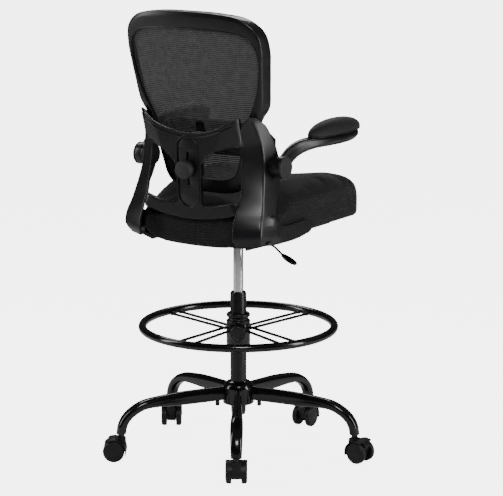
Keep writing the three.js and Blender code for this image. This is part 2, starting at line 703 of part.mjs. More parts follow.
function buildArms() {
  const pieces = {
    side_bracket: [sideBracketGeometry(), materials.nylon],
    arm_pivot: [pivotGeometry(), materials.nylon],
    arm: [armGeometry(), materials.nylon],
    arm_cap: [capGeometry(), materials.nylon],
    arm_pad: [armPadGeometry(), materials.pad],
  };
  for (const [name, [geometry, material]] of Object.entries(pieces)) {
    add(`${name}_left`, geometry, material);
    add(`${name}_right`, mirror(geometry), material);
  }
}

function buildBack() {
  add('back_frame', frameGeometry(), materials.nylon);
  add('back_mesh', meshGeometry(), materials.mesh);
  add('back_bracket', bracketGeometry(), materials.nylon);
  add('slot_insert', insertGeometry(), materials.nylon);
}

buildBase();
buildLift();
buildFootRing();
buildSeat();
buildLever();
buildBack();
buildLumbar();
buildArms();

// The footprint, which is the whole chair's bounding box, is centred on the origin.
const footprint = new THREE.Box3().setFromObject(chair).getCenter(vec(0, 0, 0));
chair.position.set(-footprint.x, -footprint.y, 0);

export default chair;
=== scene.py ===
import json
import math

import bmesh
import bpy
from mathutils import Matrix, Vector


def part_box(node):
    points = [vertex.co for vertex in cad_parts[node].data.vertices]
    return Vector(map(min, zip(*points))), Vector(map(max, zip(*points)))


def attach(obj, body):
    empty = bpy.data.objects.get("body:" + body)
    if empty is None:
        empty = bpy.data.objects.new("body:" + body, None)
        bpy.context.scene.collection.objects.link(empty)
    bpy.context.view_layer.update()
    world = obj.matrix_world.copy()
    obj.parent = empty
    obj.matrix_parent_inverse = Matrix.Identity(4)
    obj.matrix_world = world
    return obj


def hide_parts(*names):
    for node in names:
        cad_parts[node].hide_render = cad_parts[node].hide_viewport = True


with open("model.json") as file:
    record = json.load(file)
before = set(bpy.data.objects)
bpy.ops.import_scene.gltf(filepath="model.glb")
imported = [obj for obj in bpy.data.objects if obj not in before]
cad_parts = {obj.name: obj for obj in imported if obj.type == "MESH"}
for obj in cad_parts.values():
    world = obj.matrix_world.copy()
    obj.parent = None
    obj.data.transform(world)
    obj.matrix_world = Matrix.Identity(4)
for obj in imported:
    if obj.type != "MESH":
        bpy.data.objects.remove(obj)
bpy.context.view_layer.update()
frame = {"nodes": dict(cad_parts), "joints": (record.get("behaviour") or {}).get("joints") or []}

print("frame loaded")

# Every piece is drawn in millimetres about the column, x to the sitter's left and y to the rear.
rodLow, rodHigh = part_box("lift_rod")
columnX = (rodLow[0] + rodHigh[0]) / 2
columnY = (rodLow[1] + rodHigh[1]) / 2
scene = bpy.context.scene


def place(point):
    return (point[0] / 1000 + columnX, point[1] / 1000 + columnY, point[2] / 1000)


def fromFrame(point):
    return Vector(((point[0] - columnX) * 1000, (point[1] - columnY) * 1000, point[2] * 1000))


def boxMiddle(node):
    low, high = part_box(node)
    return fromFrame([(a + b) / 2 for a, b in zip(low, high)])


def jointAxis(name):
    joint = next(joint for joint in frame["joints"] if joint["name"] == name)
    return Vector(joint["axis"]).normalized()


def mix(a, b, t):
    return a + (b - a) * t


def clamp(value, low=0.0, high=1.0):
    return max(low, min(high, value))


def smooth(t):
    t = clamp(t)
    return t * t * (3 - 2 * t)


# a curve through four neighbouring rows of numbers, at t between the middle two
def through(rows, t):
    knots = [0.0]
    for a, b in zip(rows, rows[1:]):
        knots.append(knots[-1] + max(1e-4, math.dist(a, b) ** 0.5))
    start, end = knots[1:3]
    u = mix(start, end, t)
    for step in (1, 2):
        rows = [
            [((knots[i + step] - u) * p + (u - knots[i]) * q) / (knots[i + step] - knots[i])
             for p, q in zip(rows[i], rows[i + 1])]
            for i in range(len(rows) - 1)
        ]
    return [((end - u) * p + (u - start) * q) / (end - start) for p, q in zip(*rows)]


# rows of numbers made finer with a smooth curve through them all
def spline(rows, perSpan, closed=False):
    rows = [list(row) for row in rows]
    count = len(rows)
    if closed:
        padded = [rows[-1]] + rows + rows[:2]
    else:
        first = [2 * a - b for a, b in zip(rows[0], rows[1])]
        last = [2 * a - b for a, b in zip(rows[-1], rows[-2])]
        padded = [first] + rows + [last]
    spans = count if closed else count - 1
    fine = []
    for i in range(spans):
        for k in range(perSpan):
            fine.append(through(padded[i:i + 4], k / perSpan))
    if not closed:
        fine.append(rows[-1])
    return fine


# the points that take the place of one corner of a line
def roundCorner(before, corner, after, radius, steps):
    corner = Vector(corner)
    sides = [Vector(before) - corner, Vector(after) - corner]
    start, end = [corner + s * min(0.45, radius / max(s.length, 1e-6)) for s in sides]
    shares = [k / steps for k in range(steps + 1)]
    return [start.lerp(corner, t).lerp(corner.lerp(end, t), t) for t in shares]


# a closed ring of points with its corners rounded
def roundRing(ring, radius, steps=3):
    fine = []
    for i, corner in enumerate(ring):
        fine += roundCorner(ring[i - 1], corner, ring[(i + 1) % len(ring)], radius, steps)
    return fine


# an open line of points with its inner corners rounded
def roundPath(points, radius, steps=3):
    fine = [Vector(points[0])]
    for before, corner, after in zip(points, points[1:], points[2:]):
        fine += roundCorner(before, corner, after, radius, steps)
    return fine + [Vector(points[-1])]


# directions at even steps round an axis
def around(axis, count):
    across = axis.orthogonal().normalized()
    other = axis.cross(across)
    turns = [k * 2 * math.pi / count for k in range(count)]
    return [across * math.cos(a) + other * math.sin(a) for a in turns]


# a rounded section about a centre, from half sizes across and upward
def ovalRing(centre, across, upward, halfWidth, halfHeight, sides=32, power=0.7, dent=None):
    ring = []
    for j in range(sides):
        a = (j + 0.5) * 2 * math.pi / sides
        u = math.copysign(abs(math.cos(a)) ** power, math.cos(a)) * halfWidth
        v = math.copysign(abs(math.sin(a)) ** power, math.sin(a)) * halfHeight
        depth = dent(math.degrees(a)) if dent else 0
        length = math.hypot(u, v)
        share = max(0.2, 1 - depth / length)
        ring.append(centre + across * u * share + upward * v * share)
    return ring


def addObject(name, data):
    item = bpy.data.objects.new(name, data)
    scene.collection.objects.link(item)
    return item


def makePiece(name, points, faces, material, angle=32):
    mesh = bpy.data.meshes.new(name)
    mesh.from_pydata([place(p) for p in points], [], faces)
    piece = addObject(name, mesh)
    tidyMesh(mesh, angle)
    mesh.materials.append(finishes[material])
    return piece


def tidyMesh(mesh, angle=32):
    work = bmesh.new()
    work.from_mesh(mesh)
    bmesh.ops.remove_doubles(work, verts=work.verts, dist=2e-6)
    bmesh.ops.dissolve_degenerate(work, edges=work.edges, dist=1e-7)
    bmesh.ops.recalc_face_normals(work, faces=work.faces)
    work.to_mesh(mesh)
    work.free()
    for face in mesh.polygons:
        face.use_smooth = True
    mesh.set_sharp_from_angle(angle=math.radians(angle))


# rings of points joined into a skin, closed at its ends or round in a loop
def loft(name, rings, material, loop=False, caps=True, angle=32):
    sides = len(rings[0])
    points = [p for ring in rings for p in ring]
    faces = []
    for i in range(len(rings) if loop else len(rings) - 1):
        here = i * sides
        there = (i + 1) % len(rings) * sides
        for j in range(sides):
            k = (j + 1) % sides
            faces.append((here + j, here + k, there + k, there + j))
    if caps and not loop:
        last = (len(rings) - 1) * sides
        faces.append(tuple(range(sides)))
        faces.append(tuple(range(last, last + sides)))
    return makePiece(name, points, faces, material, angle)


# rings drawn in towards their middles at both ends, so that a loft's ends are rounded
def roundEnds(rings, reach):
    def drawn(ring, neighbour, share):
        middle = sum((Vector(p) for p in ring), Vector()) / len(ring)
        other = sum((Vector(p) for p in neighbour), Vector()) / len(neighbour)
        out = (middle - other).normalized() * reach * share
        closer = math.sqrt(1 - share ** 2)
        size = sum((Vector(p) - middle).length for p in ring) / len(ring)
        shrink = 1 - min(0.7, reach / size) * (1 - closer)
        return [middle + (Vector(p) - middle) * shrink + out for p in ring]
    shares = (0.4, 0.7, 0.9, 1.0)
    head = [drawn(rings[0], rings[1], s) for s in reversed(shares)]
    tail = [drawn(rings[-1], rings[-2], s) for s in shares]
    return head + rings + tail


# a profile of (radius, distance) pairs turned about an axis
def turn(name, profile, material, origin=(0, 0, 0), axis=(0, 0, 1), sides=72, edge=1.0, angle=32):
    origin = Vector(origin)
    axis = Vector(axis).normalized()
    ways = around(axis, sides)
    path = roundPath([(r, h, 0) for r, h in profile], edge)
    rings = [[origin + axis * p.y + way * p.x for way in ways] for p in path]
    closed = math.dist(profile[0], profile[-1]) < 1e-6
    return loft(name, rings, material, caps=not closed, angle=angle)


# what the modifiers make of a piece becomes its plain mesh
def settle(piece):
    graph = bpy.context.evaluated_depsgraph_get()
    mesh = bpy.data.meshes.new_from_object(piece.evaluated_get(graph), depsgraph=graph)
    old = piece.data
    piece.modifiers.clear()
    piece.data = mesh
    if old.users == 0:
        bpy.data.meshes.remove(old)
    mesh.name = piece.name
    return piece


def combine(piece, other, operation="UNION", angle=32):
    join = piece.modifiers.new("join", "BOOLEAN")
    join.operation = operation
    join.solver = "EXACT"
    join.object = other
    settle(piece)
    mesh = other.data
    bpy.data.objects.remove(other)
    bpy.data.meshes.remove(mesh)
    tidyMesh(piece.data, angle)
    return piece


# a flat outline with holes, thickened with rounded edges, cut into cells and then bent into place
def plate(name, outlines, thickness, edge, bend, material, cells=(8, 8), angle=32):
    curve = bpy.data.curves.new(name, "CURVE")
    curve.dimensions = "2D"
    curve.fill_mode = "BOTH"
    if thickness:
        curve.extrude = thickness / 2 - edge
        curve.bevel_depth = edge
        curve.bevel_resolution = 2
        curve.offset = -edge
    for outline in outlines:
        line = curve.splines.new("POLY")
        line.points.add(len(outline) - 1)
        for point, (u, v) in zip(line.points, outline):
            point.co = (u, v, 0, 1)
        line.use_cyclic_u = True
    holder = addObject(name, curve)
    graph = bpy.context.evaluated_depsgraph_get()
    mesh = bpy.data.meshes.new_from_object(holder.evaluated_get(graph), depsgraph=graph)
    bpy.data.objects.remove(holder)
    bpy.data.curves.remove(curve)
    work = bmesh.new()
    work.from_mesh(mesh)
    bmesh.ops.remove_doubles(work, verts=work.verts, dist=1e-3)
    for axis, cell in enumerate(cells):
        if not cell:
            continue
        values = [v.co[axis] for v in work.verts]
        at = math.ceil(min(values) / cell) * cell
        normal = Vector((1, 0, 0)) if axis == 0 else Vector((0, 1, 0))
        while at < max(values):
            everything = work.verts[:] + work.edges[:] + work.faces[:]
            bmesh.ops.bisect_plane(work, geom=everything, dist=1e-4, plane_co=normal * at, plane_no=normal)
            at += cell
    for vertex in work.verts:
        vertex.co = place(bend(*vertex.co))
    work.to_mesh(mesh)
    work.free()
    mesh.name = name
    piece = addObject(name, mesh)
    tidyMesh(mesh, angle)
    mesh.materials.clear()
    mesh.materials.append(finishes[material])
    return piece


def handOver(piece, body, slot, *nodes):
    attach(piece, body)
    if nodes:
        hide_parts(*nodes)
    return piece


# Node trees. Inputs are given by socket name or number, each as a value or as another node's output.
def feed(tree, node, inputs):
    for key, value in inputs.items():
        if isinstance(value, bpy.types.NodeSocket):
            tree.links.new(value, node.inputs[key])
        else:
            node.inputs[key].default_value = value


def addNode(tree, kind, inputs=None, **settings):
    node = tree.nodes.new(kind)
    for key, value in settings.items():
        setattr(node, key, value)
    feed(tree, node, inputs or {})
    return node


def startTree(name, treeKind, inputs, outputs):
    tree = bpy.data.node_groups.new(name, treeKind)
    for label, kind, value in inputs:
        socket = tree.interface.new_socket(label, in_out="INPUT", socket_type="NodeSocket" + kind)
        if value is not None:
            socket.default_value = value
    for label, kind in outputs:
        tree.interface.new_socket(label, in_out="OUTPUT", socket_type="NodeSocket" + kind)
    return tree, tree.nodes.new("NodeGroupInput").outputs, tree.nodes.new("NodeGroupOutput")


# Geometry Nodes for what repeats: every tree takes a shape and a material.
def startShapeTree(name, inputs):
    inputs = [("Geometry", "Geometry", None)] + inputs + [("Material", "Material", None)]
    tree, given, out = startTree(name, "GeometryNodeTree", inputs, [("Geometry", "Geometry")])
    tree.is_modifier = True
    return tree, given, out


def endShapeTree(tree, shape, given, out):
    real = addNode(tree, "GeometryNodeRealizeInstances", {"Geometry": shape})
    shade = addNode(tree, "GeometryNodeSetShadeSmooth", {"Geometry": real.outputs["Geometry"]})
    paint = addNode(tree, "GeometryNodeSetMaterial", {
        "Geometry": shade.outputs["Geometry"], "Material": given["Material"],
    })
    feed(tree, out, {"Geometry": paint.outputs["Geometry"]})
    return tree


# round cord along every line of the mesh that it is given
def makeCordTree():
    tree, given, out = startShapeTree("cordAlongLines", [("Radius", "Float", 0.001), ("Sides", "Int", 8)])
    line = addNode(tree, "GeometryNodeMeshToCurve", {"Mesh": given["Geometry"]})
    circle = addNode(tree, "GeometryNodeCurvePrimitiveCircle", {
        "Resolution": given["Sides"], "Radius": given["Radius"],
    })
    sweep = addNode(tree, "GeometryNodeCurveToMesh", {
        "Curve": line.outputs["Curve"], "Profile Curve": circle.outputs["Curve"], "Fill Caps": True,
    })
    return endShapeTree(tree, sweep.outputs["Mesh"], given, out)


# a rounded stud at every point, with its length along the point's own direction
def makeStudTree():
    inputs = [("Width", "Float", 0.001), ("Length", "Float", 0.002)]
    tree, given, out = startShapeTree("studsOnPoints", inputs)
    ball = addNode(tree, "GeometryNodeMeshUVSphere", {"Segments": 12, "Rings": 8, "Radius": 0.5})
    direction = addNode(tree, "GeometryNodeInputNamedAttribute", {"Name": "along"}, data_type="FLOAT_VECTOR")
    along = direction.outputs["Attribute"]
    aim = addNode(tree, "FunctionNodeAlignRotationToVector", {"Vector": along}, axis="Z")
    size = addNode(tree, "ShaderNodeCombineXYZ", {
        "X": given["Width"], "Y": given["Width"], "Z": given["Length"],
    })
    put = addNode(tree, "GeometryNodeInstanceOnPoints", {
        "Points": given["Geometry"], "Instance": ball.outputs["Mesh"],
        "Rotation": aim.outputs["Rotation"], "Scale": size.outputs["Vector"],
    })
    return endShapeTree(tree, put.outputs["Instances"], given, out)


cordTree = makeCordTree()
studTree = makeStudTree()


def runTree(piece, tree, material, values):
    modifier = piece.modifiers.new(tree.name, "NODES")
    modifier.node_group = tree
    values = dict(values, Material=finishes[material])
    for item in tree.interface.items_tree:
        if item.item_type == "SOCKET" and item.in_out == "INPUT" and item.name in values:
            modifier[item.identifier] = values[item.name]
    return settle(piece)


# cords along lists of points, in one piece
def cords(name, lines, radius, material, closed=False, sides=8):
    points = []
    edges = []
    for line in lines:
        first = len(points)
        points += [place(p) for p in line]
        edges += [(first + i, first + i + 1) for i in range(len(line) - 1)]
        if closed:
            edges.append((first + len(line) - 1, first))
    mesh = bpy.data.meshes.new(name)
    mesh.from_pydata(points, edges, [])
    piece = addObject(name, mesh)
    runTree(piece, cordTree, material, {"Radius": radius / 1000, "Sides": sides})
    tidyMesh(piece.data, 60)
    return piece


# raised lines of a moulding, in the same nylon
def ridges(name, lines, radius, body="seat", **shape):
    handOver(cords(name, lines, radius, "nylon", **shape), body, "black_nylon")


def studs(name, points, directions, width, length, material):
    mesh = bpy.data.meshes.new(name)
    mesh.from_pydata([place(p) for p in points], [], [])
    along = mesh.attributes.new("along", "FLOAT_VECTOR", "POINT")
    for k, direction in enumerate(directions):
        along.data[k].vector = direction
    piece = addObject(name, mesh)
    return runTree(piece, studTree, material, {"Width": width / 1000, "Length": length / 1000})


# nylon grip ribs round an axis, lying along it
def gripRibs(name, body, middle, axis, radius, count, width, length):
    axis = Vector(axis).normalized()
    points = [Vector(middle) + way * radius for way in around(axis, count)]
    ribs = studs(name, points, [axis] * count, width, length, "nylon")
    handOver(ribs, body, "black_nylon")


def mathNode(tree, operation, *values):
    return addNode(tree, "ShaderNodeMath", dict(enumerate(values)), operation=operation).outputs[0]


def mixColours(tree, share, dark, light):
    return addNode(tree, "ShaderNodeMix", {0: share, 6: dark, 7: light}, data_type="RGBA").outputs[2]


# moulded or painted skin: fine grain and slow mottling, which also change how rough it is
def makeSkinGroup():
    group, given, out = startTree(
        "skinGrain", "ShaderNodeTree",
        [("Grain Scale", "Float", 900.0), ("Dark", "Color", (0, 0, 0, 1)),
         ("Light", "Color", (0.1, 0.1, 0.1, 1)), ("Rough Low", "Float", 0.3), ("Rough High", "Float", 0.5)],
        [("Color", "Color"), ("Roughness", "Float"), ("Height", "Float")],
    )
    where = addNode(group, "ShaderNodeTexCoord").outputs["Object"]
    scale = given["Grain Scale"]
    grain = addNode(group, "ShaderNodeTexNoise", {"Detail": 2, "Vector": where, "Scale": scale})
    slow = addNode(group, "ShaderNodeTexNoise", {"Detail": 4, "Vector": where, "Scale": 22})
    fine = mathNode(group, "MULTIPLY", grain.outputs[0], 0.4)
    both = mathNode(group, "ADD", fine, mathNode(group, "MULTIPLY", slow.outputs[0], 0.6))
    rough = addNode(group, "ShaderNodeMapRange", {
        "From Min": 0.3, "From Max": 0.7, "Value": both,
        "To Min": given["Rough Low"], "To Max": given["Rough High"],
    })
    feed(group, out, {
        "Color": mixColours(group, both, given["Dark"], given["Light"]),
        "Roughness": rough.outputs[0], "Height": grain.outputs[0],
    })
    return group


# woven or knitted threads: two crossing rows of waves, with a little unevenness
def makeWeaveGroup():
    group, given, out = startTree(
        "weaveThreads", "ShaderNodeTree",
        [("Rows", "Float", 1500.0), ("Columns", "Float", 1500.0), ("Column Share", "Float", 1.0),
         ("Dark", "Color", (0, 0, 0, 1)), ("Light", "Color", (0.05, 0.05, 0.05, 1))],
        [("Color", "Color"), ("Height", "Float")],
    )
    where = addNode(group, "ShaderNodeTexCoord").outputs["Object"]
    apart = addNode(group, "ShaderNodeSeparateXYZ", {0: where}).outputs
    rows = mathNode(group, "SINE", mathNode(group, "MULTIPLY", apart["Z"], given["Rows"]))
    level = mathNode(group, "ADD", apart["X"], apart["Y"])
    columns = mathNode(group, "SINE", mathNode(group, "MULTIPLY", level, given["Columns"]))
    along = mathNode(group, "MULTIPLY", mathNode(group, "ABSOLUTE", columns), given["Column Share"])
    height = mathNode(group, "MAXIMUM", mathNode(group, "ABSOLUTE", rows), along)
    uneven = addNode(group, "ShaderNodeTexNoise", {"Scale": 60, "Detail": 5, "Vector": where})
    share = mathNode(group, "MULTIPLY", height, uneven.outputs[0])
    feed(group, out, {"Color": mixColours(group, share, given["Dark"], given["Light"]), "Height": height})
    return group


skinGroup = makeSkinGroup()
weaveGroup = makeWeaveGroup()


def placeGroup(tree, group, values):
    node = tree.nodes.new("ShaderNodeGroup")
    node.node_tree = group
    feed(tree, node, values)
    return node.outputs


def grey(value, blue=1.0):
    return (value, value, value * blue, 1)


def startMaterial(name, metallic=0.0, coat=0.0, specular=0.5, sheen=0.0):
    material = bpy.data.materials.new(name)
    material.use_nodes = True
    tree = material.node_tree
    shader = tree.nodes["Principled BSDF"]
    feed(tree, shader, {
        "Metallic": metallic, "Coat Weight": coat, "Coat Roughness": 0.12, "Specular IOR Level": specular,
        "Sheen Weight": sheen, "Sheen Roughness": 0.4,
    })
    return material, tree, shader


def bumped(tree, height, strength, distance):
    bump = addNode(tree, "ShaderNodeBump", {"Strength": strength, "Distance": distance, "Height": height})
    return bump.outputs["Normal"]


def skinMaterial(name, dark, light, rough, grain, bump, **shading):
    material, tree, shader = startMaterial(name, **shading)
    skin = placeGroup(tree, skinGroup, {
        "Grain Scale": grain, "Dark": dark, "Light": light, "Rough Low": rough[0], "Rough High": rough[1],
    })
    feed(tree, shader, {
        "Base Color": skin["Color"], "Roughness": skin["Roughness"],
        "Normal": bumped(tree, skin["Height"], bump, 0.0002),
    })
    return material


def clothMaterial(name, dark, light, pitch, bump, sheen):
    material, tree, shader = startMaterial(name, specular=0.25, sheen=sheen)
    perThread = math.pi * 1000 / pitch
    weave = placeGroup(tree, weaveGroup, {
        "Rows": perThread, "Columns": perThread, "Dark": dark, "Light": light,
    })
    feed(tree, shader, {
        "Base Color": weave["Color"], "Roughness": 0.92, "Normal": bumped(tree, weave["Height"], bump, 0.0004),
    })
    return material


# open mesh: rows of threads with gaps between them
def openMeshMaterial(name, dark, light, rowPitch, columnPitch, cover):
    material, tree, shader = startMaterial(name, specular=0.3, sheen=0.2)
    weave = placeGroup(tree, weaveGroup, {
        "Rows": math.pi * 1000 / rowPitch, "Columns": math.pi * 1000 / columnPitch, "Column Share": 0.8,
        "Dark": dark, "Light": light,
    })
    feed(tree, shader, {
        "Base Color": weave["Color"], "Roughness": 0.8,
        "Alpha": mathNode(tree, "GREATER_THAN", weave["Height"], 1 - cover),
        "Normal": bumped(tree, weave["Height"], 0.5, 0.0004),
    })
    return material


finishes = {
    "nylon": skinMaterial("satin nylon", grey(0.006, 1.2), grey(0.010, 1.25), (0.27, 0.36), 1400, 0.10),
    "softNylon": skinMaterial("dull nylon", grey(0.020, 1.1), grey(0.030, 1.1), (0.5, 0.6), 1200, 0.15),
    "gloss": skinMaterial("gloss black paint", grey(0.002), grey(0.004), (0.13, 0.2), 500, 0.04, coat=0.3),
    "wheel": skinMaterial("wheel nylon", grey(0.004), grey(0.008), (0.42, 0.55), 1100, 0.15),
    "steel": skinMaterial("plated steel", grey(0.35), grey(0.5), (0.28, 0.4), 700, 0.05, metallic=1.0),
    "chrome": skinMaterial("chrome", grey(0.72), grey(0.8), (0.05, 0.09), 400, 0.01, metallic=1.0),
    "padSkin": skinMaterial("arm pad skin", grey(0.006), grey(0.011), (0.62, 0.75), 700, 0.3, sheen=0.1),
    "seatTop": clothMaterial("seat knit", grey(0.006), grey(0.018), 1.6, 0.5, 0.15),
    "seatRib": clothMaterial("ribbed knit", grey(0.008), grey(0.030, 1.1), 1.3, 0.5, 0.2),
    "lumbar": clothMaterial("lumbar cloth", grey(0.004), grey(0.010), 1.5, 0.4, 0.1),
    "openMesh": openMeshMaterial("open back mesh", grey(0.012), grey(0.15), 5.4, 2.4, 0.28),
}
print("materials made")

# camera, floor and light: first, because everything is judged through them
view = {"heading": 33, "distance": 6500, "height": 1907, "pan": -0.3214, "tilt": 11.563, "lens": 172.3}


# the level directions towards the view and to its right
def viewWays():
    a = math.radians(view["heading"])
    return Vector((-math.sin(a), math.cos(a), 0)), Vector((-math.cos(a), -math.sin(a), 0))


def makeCamera():
    pan = math.radians(view["pan"])
    tilt = math.radians(view["tilt"])
    toView, right = viewWays()
    level = -toView * math.cos(pan) - right * math.sin(pan)
    forward = level * math.cos(tilt) + Vector((0, 0, -math.sin(tilt)))
    camera = addObject("camera", bpy.data.cameras.new("camera"))
    camera.data.lens = view["lens"]
    camera.data.clip_end = 100
    start = toView * view["distance"]
    camera.location = place((start.x, start.y, view["height"]))
    camera.rotation_euler = forward.to_track_quat("-Z", "Y").to_euler()
    scene.camera = camera


lighting = {
    "world": 0.035, "sun": 0.13, "sunSpread": 100, "sunTurn": (12, -10),
    "floor": 0.85, "floorGlow": 5.0, "floorReach": 60,
    # each soft panel's place to the right of the view, towards it and up, its size, power and facing height
    "panels": [
        ((2300, 900, 1000), (0.5, 1.8), 26, 750),
        ((-2500, 100, 1500), (0.5, 2.2), 24, 750),
        ((200, 2600, 2400), (0.7, 0.7), 30, 700),
        ((-300, -2000, 2600), (2.4, 0.6), 30, 900),
    ],
}


def makeLights():
    world = bpy.data.worlds.new("studio")
    world.use_nodes = True
    scene.world = world
    back = world.node_tree.nodes["Background"]
    back.inputs["Color"].default_value = (1, 1, 1, 1)
    back.inputs["Strength"].default_value = lighting["world"]
    sun = bpy.data.lights.new("sky light", "SUN")
    sun.energy = lighting["sun"]
    sun.angle = math.radians(lighting["sunSpread"])
    holder = addObject("sky light", sun)
    holder.rotation_euler = [math.radians(a) for a in (*lighting["sunTurn"], 0)]
    toView, right = viewWays()
    for k, (spot, size, power, facing) in enumerate(lighting["panels"]):
        lamp = bpy.data.lights.new(f"panel {k + 1}", "AREA")
        lamp.shape = "RECTANGLE"
        lamp.size, lamp.size_y = size
        lamp.energy = power
        holder = addObject(lamp.name, lamp)
        holder.location = place(right * spot[0] + toView * spot[1] + Vector((0, 0, spot[2])))
        aim = Vector(place((0, 0, facing))) - holder.location
        holder.rotation_euler = aim.to_track_quat("-Z", "Y").to_euler()


# The floor looks white to the camera, but throws no extra light up at the chair.
def makeFloor():
    material, tree, shader = startMaterial("pale floor", specular=0.1)
    path = tree.nodes.new("ShaderNodeLightPath").outputs
    bare = mathNode(tree, "LESS_THAN", path["Transparent Depth"], 0.5)
    seen = mathNode(tree, "MULTIPLY", path["Is Camera Ray"], bare)
    feed(tree, shader, {
        "Base Color": grey(lighting["floor"]), "Roughness": 0.9, "Emission Color": (1, 1, 1, 1),
        "Emission Strength": mathNode(tree, "MULTIPLY", seen, lighting["floorGlow"]),
    })
    mesh = bpy.data.meshes.new("floor")
    reach = lighting["floorReach"]
    corners = [(-reach, -reach, 0), (reach, -reach, 0), (reach, reach, 0), (-reach, reach, 0)]
    mesh.from_pydata(corners, [], [(0, 1, 2, 3)])
    mesh.materials.append(material)
    addObject("floor", mesh)


makeCamera()
makeLights()
makeFloor()
print("camera, light and floor placed")


# base: hub, gooseneck legs and the outer tube
base = {
    "hub": [(22.9, 138), (43, 138), (43, 184), (39, 193), (31, 200), (24, 203), (22.9, 203), (22.9, 138)],
    "tube": [(0, 106), (19, 106), (22.5, 142), (22.5, 451), (20.5, 451), (20.5, 112), (0, 112)],
    "rod": [(0, 262), (13, 262), (14, 263), (14, 584), (12, 592), (0, 592)],
    # along a leg: distance out, height, half width, half height and how far the section leans
    "leg": [
        (43.3, 168, 10, 20, 0), (110, 165, 11, 20, 2), (175, 162, 13, 19, 4), (230, 158.5, 15, 15.5, 8),
        (270, 153, 17, 13.5, 18), (300, 139, 17.5, 13, 42), (322, 120, 17, 13, 62), (334, 98, 16, 13, 80),
        (338, 76, 15, 13, 90),
    ],
    "boltOut": 61, "bolt": [(0, 148), (6, 148), (6, 135), (3.5, 133), (0, 133)],
}


def makeBase():
    handOver(turn("hub_shell", base["hub"], "gloss", edge=2), "base", "gloss_black_steel", "base_hub")
    handOver(turn("outer_tube", base["tube"], "nylon", edge=1), "base", "black_nylon", "lift_tube")
    handOver(turn("polished_rod", base["rod"], "chrome", edge=0.8), "lift", "chrome_rod", "lift_rod")
    for n in range(1, 6):
        stem = boxMiddle(f"caster_stem_{n}")
        out = Vector((stem.x, stem.y, 0)).normalized()
        side = Vector((-out.y, out.x, 0))
        rings = []
        for r, z, halfWidth, halfHeight, lean in spline(base["leg"], 8):
            a = math.radians(lean)
            upward = out * math.sin(a) + Vector((0, 0, math.cos(a)))
            rings.append(ovalRing(out * r + Vector((0, 0, z)), side, upward, halfWidth, halfHeight, 36, 0.78))
        leg = loft(f"leg_tube_{n}", rings, "gloss", angle=50)
        handOver(leg, "base", "gloss_black_steel", f"base_leg_{n}")
        bolt = turn(f"leg_bolt_{n}", base["bolt"], "gloss", origin=out * base["boltOut"], sides=24)
        handOver(bolt, "base", "gloss_black_steel")


makeBase()
print("base made")


# casters
caster = {
    "wheel": 30, "width": 16, "spacing": 26, "trail": 20, "cover": 34.5, "inside": 31.5, "axleCover": 16,
    "neck": [(-13, 44), (-12, 66), (14, 66)], "boss": [(0, 40), (13, 40), (13, 66.3), (0, 66.3)],
}


def arcPoints(radius, start, end, steps):
    points = []
    for k in range(steps + 1):
        a = math.radians(mix(start, end, k / steps))
        points.append((caster["trail"] + radius * math.cos(a), caster["wheel"] + radius * math.sin(a)))
    return points


def makeCaster(n):
    stem = boxMiddle(f"caster_stem_{n}")
    axle = boxMiddle(f"caster_axle_{n}")
    trail = Vector((axle.x - stem.x, axle.y - stem.y, 0)).normalized()
    side = Vector((-trail.y, trail.x, 0))
    foot = Vector((stem.x, stem.y, 0))

    def lay(u, v, w):
        return foot + trail * u + side * w + Vector((0, 0, v))

    webLine = caster["neck"] + arcPoints(caster["cover"], 96, 40, 8)
    webLine += arcPoints(caster["axleCover"], 0, -120, 8)
    webRing = [p[:2] for p in roundRing([(*q, 0) for q in webLine], 2)]
    web = plate(f"hood_shell_{n}", [webRing], caster["spacing"] - 1.6, 1.6, lay, "wheel", cells=(0, 0))
    band = arcPoints(caster["cover"], 60, 196, 30) + arcPoints(caster["inside"], 196, 60, 30)
    wide = caster["spacing"] + 2 * caster["width"] + 1
    fender = plate("fender", [band], wide, 1.2, lay, "wheel", cells=(0, 0))
    boss = turn("boss", caster["boss"], "wheel", origin=foot, sides=48, edge=1.5)
    combine(web, fender)
    combine(web, boss)
    handOver(web, f"caster_{n}", "wheel_nylon", f"caster_hood_{n}")
    for name, way in (("left", 1), ("right", -1)):
        inner = caster["spacing"] / 2
        outer = inner + caster["width"]
        r = caster["wheel"]
        profile = [
            (3.3, inner + 0.6), (r - 2, inner + 0.6), (r, inner + 3), (r, outer - 4),
            (r - 3.5, outer - 0.3), (r - 6, outer - 0.3), (r - 6.8, outer - 1.4), (r - 8, outer - 1.2),
            (8, outer - 0.2), (0, outer),
        ]
        middle = foot + trail * caster["trail"] + Vector((0, 0, r))
        wheel = turn(f"wheel_{name}_{n}", profile, "wheel", origin=middle, axis=side * way, edge=0.9)
        handOver(wheel, f"wheel_{name}_{n}", "wheel_nylon", f"caster_wheel_{name}_{n}")


for number in range(1, 6):
    makeCaster(number)
print("casters made")


# foot ring with its sleeve, collar and clamp knob
footRing = {
    "radius": 266, "tube": 11, "height": 358, "spokeDrop": 6.5, "spoke": 3.8, "sleeve": 33, "screwHeight": 347,
    "bore": 22.9, "sleeveLow": 296, "sleeveHigh": 366, "weldShare": 0.975,
    "spokes": [
        ((24, 15), (224, 140)), ((-6, 34.5), (193, 181)), ((-19, 18), (-199, 173)), ((6, 34.5), (-176, 196)),
    ],
}


